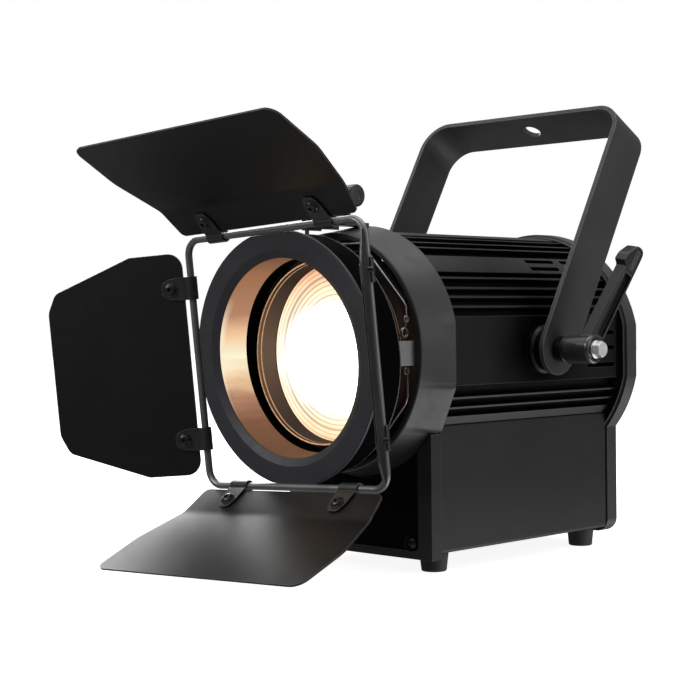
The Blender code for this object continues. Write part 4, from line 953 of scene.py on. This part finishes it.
def make_lens():
    """Stepped lens with a round centre, and the hood ring in front of it."""
    radius = LENS_R - 2.0
    top = LENS_FRONT + 0.1
    front = [(LENS_R, LENS_FRONT + 5.4), (LENS_R, LENS_FRONT + 1.6), (radius, LENS_FRONT + 1.6)]
    while radius > 17.5:
        inner = radius - RING_PITCH
        rise = min(2.6, 0.030 * radius + 0.35)
        for k in range(1, 5):
            share = k / 4
            front.append((radius - RING_PITCH * share, top + rise * (1 - math.sin(share * math.pi / 2))))
        front.append((inner, top + rise))
        radius = inner
    for k in range(1, 9):
        r = radius * (1 - k / 8)
        front.append((max(r, 0.0), top + 2.4 * (r / 18.0) ** 2))
    front[-1] = (0.0, top)
    front.append((0.0, LENS_FRONT + 5.4))
    lens = shifted(lathe(front, 128, closed=False), z=AXIS_Z)
    lamp_piece("lens_glass", lens, "lens", ["fresnel_lens"], 28, LENS_BODY)

    inside = [(61.2, 33.9)] + arc((61.75, 34.15), 0.52, 200, 340, 6) + [(62.3, 34.4), (62.3, 50.3)]
    inside += [(60.8, 50.3), (60.9, 46.0), (61.3, 38.4), (61.0, 37.4), (60.9, 36.2),
               (61.2, 35.9), (61.3, 35.2), (61.2, 34.8)]
    hood = shifted(lathe(inside, 160), z=AXIS_Z)
    obj = lamp_piece("lens_hood_ring", hood, "hood", ["lens_ring"], 30, LENS_BODY)
    paint(obj, LAMP, ["ridge"], lambda centre, normal:
          centre.y < 34.0 or (36.1 < centre.y < 37.5 and off_axis(centre) < 61.2))


# ---- latch --------------------------------------------------------------------------
LATCH_Y, LATCH_KNOB_Z, LATCH_KNOB_R = 60.0, 253.5, 7.8


def ribbed(shaft_r, start, end, depth, ribs):
    """Radius rule for a knob: ribs along its grip, from start to end along its axis."""
    def radius_of(radius, t, angle):
        if radius > shaft_r and start < t < end:
            return radius - depth * (0.5 - 0.5 * math.cos(math.radians(angle * ribs)))
        return radius

    return radius_of


def make_latch():
    y, knob_z, r = LATCH_Y, LATCH_KNOB_Z, LATCH_KNOB_R
    foot_z = AXIS_Z + BEZEL_REAR_R - 0.6
    ear = [(y - 6, foot_z + 1), (y + 6, foot_z + 1), (y + 6, knob_z + 8), (y - 6, knob_z + 8)]
    plate = extrude(rounded(ear, [0, 0, 4, 4], 6), -5.5, -3.0, "X")
    pad = extrude(rounded(rect(-5.5, 9, y - 9, y + 15), 1.5, 4), foot_z, foot_z + 2.2, "Z")
    bracket = bore(carve(plate, pad, "UNION"), (y, knob_z), 2.6, -8, 0, "X")
    lamp_piece("latch_plate", bevelled(bracket, 0.3, 2, 50), "strap", ["latch_bracket"], 35)
    low, over = AXIS_Z + 68.6, foot_z + 4.4
    hook = [(24.2, low), (26.2, low), (26.2, over), (y - 6, over), (y - 6, foot_z + 3.0),
            (y + 6, foot_z + 3.0), (y + 6, knob_z + 8), (y - 6, knob_z + 8), (y - 6, over + 4),
            (24.2, over + 4)]
    arm = extrude(rounded(hook, [0.8, 0.8, 1.5, 1.5, 1, 2, 4, 4, 1.5, 3.5], 5), -2.6, -0.4, "X")
    slot = rounded(rect(y - 2.6, y + 2.6, knob_z - 17, knob_z + 2.6), 2.5, 6)
    arm = bevelled(carve(arm, extrude(slot, -5, 2, "X")), 0.35, 2, 50)
    lamp_piece("latch_hook_plate", arm, "strap", ["latch_arm"], 35, "latch_hook")
    guard = rounded(rect(-9.0, 9.0, AXIS_Z + 82.4, AXIS_Z + 90.2), [0, 0, 2.0, 2.0], 5)
    hollow = rounded(rect(-7.8, 7.8, AXIS_Z + 80, AXIS_Z + 89.0), [0, 0, 1.0, 1.0], 4)
    guard = carve(extrude(guard, 27.4, 45.2), extrude(hollow, 28.6, 50))
    lamp_piece("latch_hook_guard", bevelled(guard, 0.25, 2, 50), "boss", (), 35, "latch_hook")

    knob = [(0, -9), (2.2, -9), (2.2, 0.2), (r - 1.4, 0.2)] + arc((r - 1.3, 1.5), 1.3, -90, 0, 5)
    knob += [(r, 4.0), (r, 8.0), (r, 10.6)] + arc((r - 1.6, 10.6), 1.6, 0, 90, 6)
    knob += [(3.2, 12.2), (2.9, 11.8), (0, 11.8)]
    thumb = lathe(knob, 144, "X", False, ribbed(r - 1.0, 1.0, 11.4, 0.35, 24))
    lamp_piece("latch_thumb_knob", shifted(thumb, y=y, z=knob_z), "plastic", ["latch_knob"], 35,
               "latch_screw")


# ---- barn doors ---------------------------------------------------------------------
WALL_R = 66.6                               # just outside the ring's bright inner wall
CLIP_X, CLIP_HOLE_U = 52.5, 15.0            # clips and their screws, in the hinge frame
LEAF_GAP, LEAF_HALF, CLIP_THICK = 0.25, 0.6, 1.2
SEAT_GAP = 0.3


def wire_path(steps=12):
    h = WIRE_HALF
    return [(x, 0.0, z) for x, z in rounded([(h, -h), (h, h), (-h, h), (-h, -h)], 11.0, steps)]


def make_ring():
    rear = 38.0
    profile = [(80.8, 27.1), (80.8, 26.3), (80.7, 26.2), (80.7, 2.6), (84.5, 2.6)]
    profile += arc((84.4, 1.9), 0.6, 60, -10, 3) + arc((84.3, 0.7), 0.7, 0, -90, 4)
    profile += [(80.0, 0.0), (75.0, 0.0), (71.6, 0.0), (71.2, 0.15), (66.8, 2.6), (66.35, 2.95), (66.2, 3.5)]
    profile += [(66.05, 12), (65.9, 20), (65.8, 27.0), (65.78, 27.3), (65.6, rear)]
    profile += [(71.7, rear), (72.0, rear - 0.4), (72.0, rear - 1.6), (71.7, rear - 2), (67.4, rear - 2),
                (67.4, 4.5), (79.3, 4.5), (79.3, 27.1)]
    notches = []
    for sign in (-1, 1):
        notches.append(extrude(circle((0, sign * WIRE_HALF), WIRE_R + 0.3, 24), -40, 40, "X"))
        notches.append(extrude(circle((sign * WIRE_HALF, 0), WIRE_R + 0.3, 24), -40, 40, "Z"))
    ring = carve(lathe(profile, 180), join(*notches))
    obj = piece("ring_body", ring, DOORS, MATS["ring"], "barn_doors", ["barn_ring"], 30)

    def look(centre, normal):
        radius = off_axis(centre, 0.0)
        if radius < WALL_R and 3.3 < centre.y < 27.2:
            return 1
        # Outer barrel and rear of the ring take the near-black slot: painted shade.
        return 2 if centre.y > 3.3 and not (centre.y > 26.25 and radius > 80) else 0

    paint(obj, DOORS, ["wall", "dark"], look)
    wire = sweep(wire_path(), WIRE_R, 28, closed=True)
    piece("wire_frame", wire, DOORS, MATS["wire"], "barn_doors", ["barn_wire_frame"], 60)


FOLD_AT, FOLD_ANGLE, FOLD_R = 28.0, 16.0, 3.2


def folded_outline():
    half = [(4.8, 84.5), (FOLD_AT, 89.0), (FOLD_AT + 36, 99.0), (104.5, 98.0)]
    points = half + [(u, -v) for u, v in reversed(half)]
    return rounded(points, [5, 8, 30, 9, 9, 30, 8, 5], 10)


def side_outline():
    half = [(5.5, 77.5), (45.0, 77.5), (104.5, 57.0), (111.0, 44.0)]
    points = half + [(u, -v) for u, v in reversed(half)]
    return rounded(points, [11, 8, 8, 12, 12, 8, 8, 11], 10)


def leaf_mesh(outline, folded):
    """Sheet cut to its outline in the hinge frame, with a rolled fold and drilled holes."""
    low, high = -0.35, 0.85
    sheet = extrude([(v, u) for u, v in outline], -high, -low, "Y")
    for side in (-1, 1):
        sheet = bore(sheet, (side * CLIP_X, CLIP_HOLE_U), 2.1, -5, 5, steps=20)
    cuts = [FOLD_AT + FOLD_R * (k / 3 - 1) for k in range(7)] if folded else []
    cuts += [45, 62, 80, 95]
    for across, places in (((0, 0, 1), cuts), ((1, 0, 0), (-70, -35, 0, 35, 70))):
        for at in places:
            geometry = list(sheet.verts) + list(sheet.edges) + list(sheet.faces)
            bmesh.ops.bisect_plane(sheet, geom=geometry, plane_co=Vector(across) * at, plane_no=across)
    sheet = bevelled(sheet, 0.3, 2, 60)
    if folded:
        bend = math.radians(FOLD_ANGLE)
        start = FOLD_AT - FOLD_R
        for vert in sheet.verts:
            u, n = vert.co.z, -vert.co.y
            if u <= start:
                continue
            share = min(1.0, (u - start) / (2 * FOLD_R))
            turn = bend * share
            radius = 2 * FOLD_R / bend
            centre_u, centre_n = start + radius * math.sin(turn), radius * (1 - math.cos(turn))
            extra = max(0.0, u - start - 2 * FOLD_R)
            centre_u += extra * math.cos(bend)
            centre_n += extra * math.sin(bend)
            vert.co.z = centre_u - n * math.sin(turn)
            vert.co.y = -(centre_n + n * math.cos(turn))
    return sheet


def clip_mesh():
    """Strap rolled round the wire, its tongue flat on the leaf, with a drilled hole."""
    low = LEAF_GAP + LEAF_HALF + SEAT_GAP
    high = low + CLIP_THICK
    outer = arc((0, 0), 4.1, 32, 326, 28)
    inner = arc((0, 0), WIRE_R + 0.3, 326, 38, 28)
    section = [(24, low), (24, high), (5.4, high), (4.6, high - 0.05)] + outer + inner
    section += [(4.2, low + 0.05), (5.0, low)]
    strap = extrude([(-n, u) for u, n in section], -16, 16, "X")
    plan = [(-8, -6), (8, -6), (8, 7), (7.2, 15.5), (4.4, 22.0), (-4.4, 22.0), (-7.2, 15.5), (-8, 7)]
    strap = carve(strap, extrude(rounded(plan, [0, 0, 3, 5, 3.5, 3.5, 5, 3], 6), -10, 10, "Y"), "INTERSECT")
    strap = bore(strap, (0, CLIP_HOLE_U), 2.2, -10, 10)
    return bevelled(strap, 0.28, 2, 48)


def clip_screw_mesh():
    """Button head with a hexagon socket over a plain washer."""
    seat = LEAF_GAP + LEAF_HALF + SEAT_GAP + CLIP_THICK + SEAT_GAP
    raised = [(1.8, -0.15), (4.9, -0.15), (4.9, 0.25), (4.3, 0.35), (4.2, 0.6), (4.05, 1.1), (3.6, 1.7),
              (2.9, 2.1), (2.1, 2.25), (0, 2.3)]
    head = [(0, 3.6), (1.8, 3.6)] + [(r, -seat - up) for r, up in raised]
    bm = lathe(head, 40, closed=False)
    return carve(bm, extrude(circle((0, 0), 1.75, 6), -seat - 4, -seat - 0.7))


def make_doors():
    for side, matrix in HINGE.items():
        folded = side in ("top", "bottom")
        leaf = leaf_mesh(folded_outline() if folded else side_outline(), folded)
        piece(f"leaf_{side}_sheet", leaf, matrix, MATS["leaf"], f"door_{side}",
              [f"leaf_{side}"], 25)
        for sign, tag in ((-1, "a"), (1, "b")):
            spot = matrix @ Matrix.Translation((sign * CLIP_X, 0, 0))
            piece(f"clip_{side}_{tag}_strap", clip_mesh(), spot, MATS["strap"], f"door_{side}",
                  [f"clip_{side}_{tag}"], 35)
            spot = matrix @ Matrix.Translation((sign * CLIP_X, 0, CLIP_HOLE_U))
            piece(f"clip_screw_{side}_{tag}_head", clip_screw_mesh(), spot, MATS["screw"], f"door_{side}",
                  [f"clip_screw_{side}_{tag}"], 32)


# ---- yoke and clamp levers ----------------------------------------------------------
YOKE_HALF_X, YOKE_WIDTH, YOKE_THICK, YOKE_REACH, YOKE_BEND_R = 94.6, 36.0, 3.5, 193.4, 22.0
HUB_OUT, HUB_R, LEVER_LEAN = 125.5, 10.0, 10.0


def make_yoke():
    x, t, half = YOKE_HALF_X, YOKE_THICK, YOKE_WIDTH / 2
    outer = arc((x - YOKE_BEND_R, YOKE_REACH - YOKE_BEND_R), YOKE_BEND_R, 0, 90, 16)
    inner = arc((x - YOKE_BEND_R, YOKE_REACH - YOKE_BEND_R), YOKE_BEND_R - t, 90, 0, 16)
    right_outer, right_inner = [(x, -half)] + outer, inner + [(x - t, -half)]
    left_outer = [(-a, b) for a, b in reversed(right_outer)]
    left_inner = [(-a, b) for a, b in reversed(right_inner)]
    strap = extrude(right_outer + left_outer + left_inner + right_inner, -half, half)
    sides = arc((0, 0), half, 180, 360, 40) + [(half, YOKE_REACH + 5), (-half, YOKE_REACH + 5)]
    strap = carve(strap, extrude(sides, -120, 120, "X"), "INTERSECT")
    strap = bore(strap, (0, 0), 6.5, YOKE_REACH - 10, YOKE_REACH + 10, "Z", 48)
    strap = bore(strap, (0, 0), PIVOT_HOLE_R, -120, 120, "X", 32)
    strap = bevelled(strap, 0.7, 3, 50)
    piece("yoke_bar", strap, YOKE, MATS["yoke"], "yoke_frame", ["yoke"], 30)


def lever_mesh():
    """Right-hand lever: collar, glossy hub and a channelled arm with a T-shaped paddle."""
    start = YOKE_HALF_X + 0.3
    hub = [(PIVOT_HOLE_R, start), (8.6, start), (9.0, start + 0.5), (9.0, start + 7.0), (8.4, start + 7.6),
           (8.4, start + 8.4), (9.6, start + 8.9), (HUB_R, start + 9.6), (HUB_R, HUB_OUT - 2.4)]
    hub += arc((HUB_R - 2.0, HUB_OUT - 2.0), 2.0, 0, 90, 6)
    hub += [(7.0, HUB_OUT), (6.6, HUB_OUT - 0.6), (PIVOT_HOLE_R, HUB_OUT - 0.6)]
    body = lathe(hub, 72, "X")
    grip = [(-6.8, 3.5), (6.8, 3.5), (5.6, 76.0), (4.6, 81.5), (-3.5, 81.5), (-9.4, 72.0), (-10.0, 66.5),
            (-5.8, 64.0)]
    arm = extrude(rounded(grip, [2, 2, 0, 4, 5, 8.0, 1.5, 2.0], 6), HUB_OUT - 12.5, HUB_OUT - 3.0, "X")
    arm = bevelled(arm, 0.8, 3, 40)
    channel = [(-4.6, 12.0), (4.9, 12.0), (4.2, 60.5), (-4.0, 60.5)]
    arm = carve(arm, extrude(rounded(channel, [1.5, 1.5, 1.2, 1.2], 4), HUB_OUT - 6.2, HUB_OUT + 4, "X"))
    for a in (-1.6, 0.0, 1.6):
        groove = [(a - 0.4, 64.0), (a + 0.4, 64.0), (a * 0.8 + 0.4, 78), (a * 0.8 - 0.4, 78)]
        arm = carve(arm, extrude(groove, HUB_OUT - 3.6, HUB_OUT + 4, "X"))
    lean = Matrix.Rotation(math.radians(LEVER_LEAN), 4, "Y")
    hinge = Vector((HUB_OUT - 8, 0, 0))
    move(arm, Matrix.Translation(hinge) @ lean @ Matrix.Translation(-hinge))
    body = carve(body, arm, "UNION")
    return bore(body, (0, 0), PIVOT_HOLE_R, 90, 130, "X", 40)


def bolt_mesh():
    head = HUB_OUT + 0.3
    shank = lathe([(0, 76.5), (3.6, 76.5), (4.0, 76.9), (4.0, head - 0.2), (6.2, head - 0.2),
                   (6.2, head + 0.6), (5.9, head + 0.8), (0, head + 0.8)], 48, "X", False)
    hexagon = extrude(circle((0, 0), 5.75, 6), head + 0.8, head + 6.0, "X")
    dome = lathe([(0, head), (6.2, head), (6.2, head + 4.4), (5.2, head + 5.6), (4.9, head + 6.0),
                  (0, head + 6.0)], 48, "X", False)
    hexagon = bevelled(carve(hexagon, dome, "INTERSECT"), 0.25, 2, 30)
    return join(shank, hexagon)


def hub_look(centre, normal):
    """Glossy hub and dark collar; the arm keeps its own finish."""
    if math.hypot(centre.y, centre.z) >= HUB_R + 0.05:
        return 0
    return 1 if abs(centre.x) > YOKE_HALF_X + 11.6 else 2


def make_clamps():
    mirror = Matrix.Scale(-1, 4, (1, 0, 0))
    panel_x = BODY_R * math.cos(math.radians(PANEL_HIGH))
    inside = YOKE_HALF_X - YOKE_THICK
    for hand, turn in (("right", Matrix.Identity(4)), ("left", mirror)):
        boss = [(PIVOT_HOLE_R, panel_x + 0.3), (17.0, panel_x + 0.3), (17.0, panel_x + 3.4),
                (16.6, panel_x + 3.9), (15.9, panel_x + 4.1), (15.5, panel_x + 4.6), (15.5, inside - 1.0),
                (15.0, inside - 0.3), (PIVOT_HOLE_R, inside - 0.3)]
        disc = shifted(move(lathe(boss, 96, "X"), turn), y=PIVOT_Y, z=AXIS_Z)
        lamp_piece(f"pivot_disc_{hand}", disc, "boss", [f"pivot_boss_{hand}"], 35)
        lever = piece(f"lever_{hand}_grip", move(lever_mesh(), turn), YOKE, MATS["grip"], f"lever_{hand}",
                      [f"clamp_lever_{hand}"], 32)
        paint(lever, YOKE, ["hub", "boss"], hub_look)
        piece(f"bolt_{hand}_hex", move(bolt_mesh(), turn), YOKE, MATS["zinc"], f"lever_{hand}",
              [f"clamp_bolt_{hand}"], 32)


def make_zoom_knob():
    rear = COVER_REAR
    profile = [(0, 52), (1.6, 52), (2.0, 52.6), (2.0, rear + 2), (10.6, rear + 2), (11.6, rear + 2.5),
               (12.0, rear + 3.2), (12.0, rear + 4.2), (11.7, rear + 9), (11.4, rear + 14),
               (10.8, rear + 15.3), (9.8, rear + 16), (7.6, rear + 16), (7.0, rear + 15.2),
               (0, rear + 15.0)]
    knob = lathe(profile, 168, closed=False, radius_of=ribbed(10.9, rear + 3.5, rear + 14.5, 0.5, 28))
    lamp_piece("zoom_spindle_knob", shifted(knob, z=AXIS_Z - SCREW_OFFSET), "grip", ["zoom_knob"],
               35, "zoom_spindle")


def dress_inner_nodes():
    """Procedural materials on the CAD nodes that keep their own shape."""
    looks = {"lens_carriage": "strap", "guide_rod": "steel", "led_heat_sink": "aluminium", "led_module": "led",
             "fan_frame": "plastic", "fan_rotor": "plastic", "power_supply": "aluminium"}
    for node, look in looks.items():
        obj = frame["nodes"][node]
        if not obj.data.materials:
            obj.data.materials.append(MATS[look])
        for material_slot in obj.material_slots:
            material_slot.material = MATS[look]


rear_screws = make_housing()
make_bezel()
make_holder()
make_base()
make_rear_cover(rear_screws)
make_lens()
make_latch()
make_ring()
make_doors()
make_yoke()
make_clamps()
make_zoom_knob()
dress_inner_nodes()


# ---- stage --------------------------------------------------------------------------
def make_floor():
    bm = bmesh.new()
    size = 6.0
    corners = [(-size, -size), (size, -size), (size, size), (-size, size)]
    bm.faces.new([bm.verts.new((x, y, -0.0004)) for x, y in corners])
    mesh = bpy.data.meshes.new("studio_floor")
    bm.to_mesh(mesh)
    bm.free()
    floor = bpy.data.objects.new("studio_floor", mesh)
    bpy.context.scene.collection.objects.link(floor)
    s = Shader("pale_floor")
    soft = s.noise(900.0, 2.0)
    s.set(Base_Color=s.mix(soft, (0.50, 0.50, 0.50, 1), (0.54, 0.54, 0.54, 1)), Roughness=0.9)
    reach = s.reach(AXIS_POINT + Vector((0, 0.16, 0)), (1.0, 0.6, 0.0))
    s.set(Specular_IOR_Level=0.0)
    s.glow((1, 1, 1, 1), s.span(reach, 0.06, 0.22, 0.90, 1.0))
    mesh.materials.append(s.mat)
    floor.visible_diffuse = False
    floor.visible_glossy = False
    floor.visible_shadow = False


SKY = [(0.0, 0.34), (0.30, 0.26), (0.44, 0.06), (0.50, 0.03), (0.58, 0.05), (0.74, 0.40), (1.0, 0.85)]


def make_world():
    """White backdrop for the camera; for the lamp, light from above and off the floor."""
    world = bpy.data.worlds.new("studio")
    bpy.context.scene.world = world
    world.use_nodes = True
    world.node_tree.nodes.clear()
    graph = Graph(world.node_tree)
    up = graph.node("ShaderNodeSeparateXYZ",
                    {"Vector": graph.node("ShaderNodeTexCoord").outputs["Generated"]}).outputs["Z"]
    level = graph.ramp(graph.span(up, -1.0, 1.0), [(at, (value,) * 3) for at, value in SKY])
    fill = graph.node("ShaderNodeBackground", {"Color": (0.97, 0.985, 1.0, 1), "Strength": level})
    seen = graph.node("ShaderNodeBackground", {"Color": (1, 1, 1, 1), "Strength": 1.0})
    camera_ray = graph.node("ShaderNodeLightPath").outputs["Is Camera Ray"]
    both = graph.node("ShaderNodeMixShader", {0: camera_ray, 1: fill.outputs[0], 2: seen.outputs[0]})
    graph.node("ShaderNodeOutputWorld", {0: both.outputs[0]})


def softbox(name, at, aim, width, height, power, colour=(1, 1, 1)):
    light = bpy.data.lights.new(name, "AREA")
    light.shape = "RECTANGLE"
    light.size, light.size_y = width, height
    light.energy = power
    light.color = colour
    obj = bpy.data.objects.new(name, light)
    obj.location = at
    obj.rotation_euler = (Vector(aim) - Vector(at)).to_track_quat("-Z", "Y").to_euler()
    bpy.context.scene.collection.objects.link(obj)


def make_camera():
    azimuth, pitch, roll = 0.777787, 0.018389, -0.0112782
    cam = bpy.data.cameras.new("camera")
    cam.sensor_width = 36.0
    cam.lens = 83.596
    forward = Vector((-math.sin(azimuth) * math.cos(pitch), math.cos(azimuth) * math.cos(pitch),
                      -math.sin(pitch)))
    right = forward.cross(Vector((0, 0, 1))).normalized()
    up = right.cross(forward)
    c, s = math.cos(roll), math.sin(roll)
    x_axis, y_axis = c * right + s * up, c * up - s * right
    obj = bpy.data.objects.new("camera", cam)
    matrix = Matrix((x_axis, y_axis, -forward)).transposed().to_4x4()
    matrix.translation = ORIGIN + Vector((781.244, -729.920, 169.053)) * MM
    obj.matrix_world = matrix
    bpy.context.scene.collection.objects.link(obj)
    bpy.context.scene.camera = obj


make_floor()
make_world()
CENTRE = AXIS_POINT + Vector((0, 0.12, 0))
softbox("top_softbox", CENTRE + Vector((0.1, 0.1, 1.3)), CENTRE, 1.2, 1.4, 8.0)
softbox("left_softbox", CENTRE + Vector((-1.35, 0.50, 0.75)), CENTRE + Vector((0, -0.2, -0.08)), 0.9, 0.9,
        17.0)
softbox("right_softbox", CENTRE + Vector((1.4, 0.75, 0.35)), CENTRE, 0.8, 1.0, 4.2)
softbox("floor_bounce", CENTRE + Vector((0.80, 0.70, -0.95)), CENTRE, 1.0, 1.0, 8.0)
softbox("front_softbox", CENTRE + Vector((-0.7, -1.5, 0.9)), CENTRE, 0.9, 0.9, 13.0)
make_camera()
bpy.context.scene.view_settings.view_transform = "Standard"
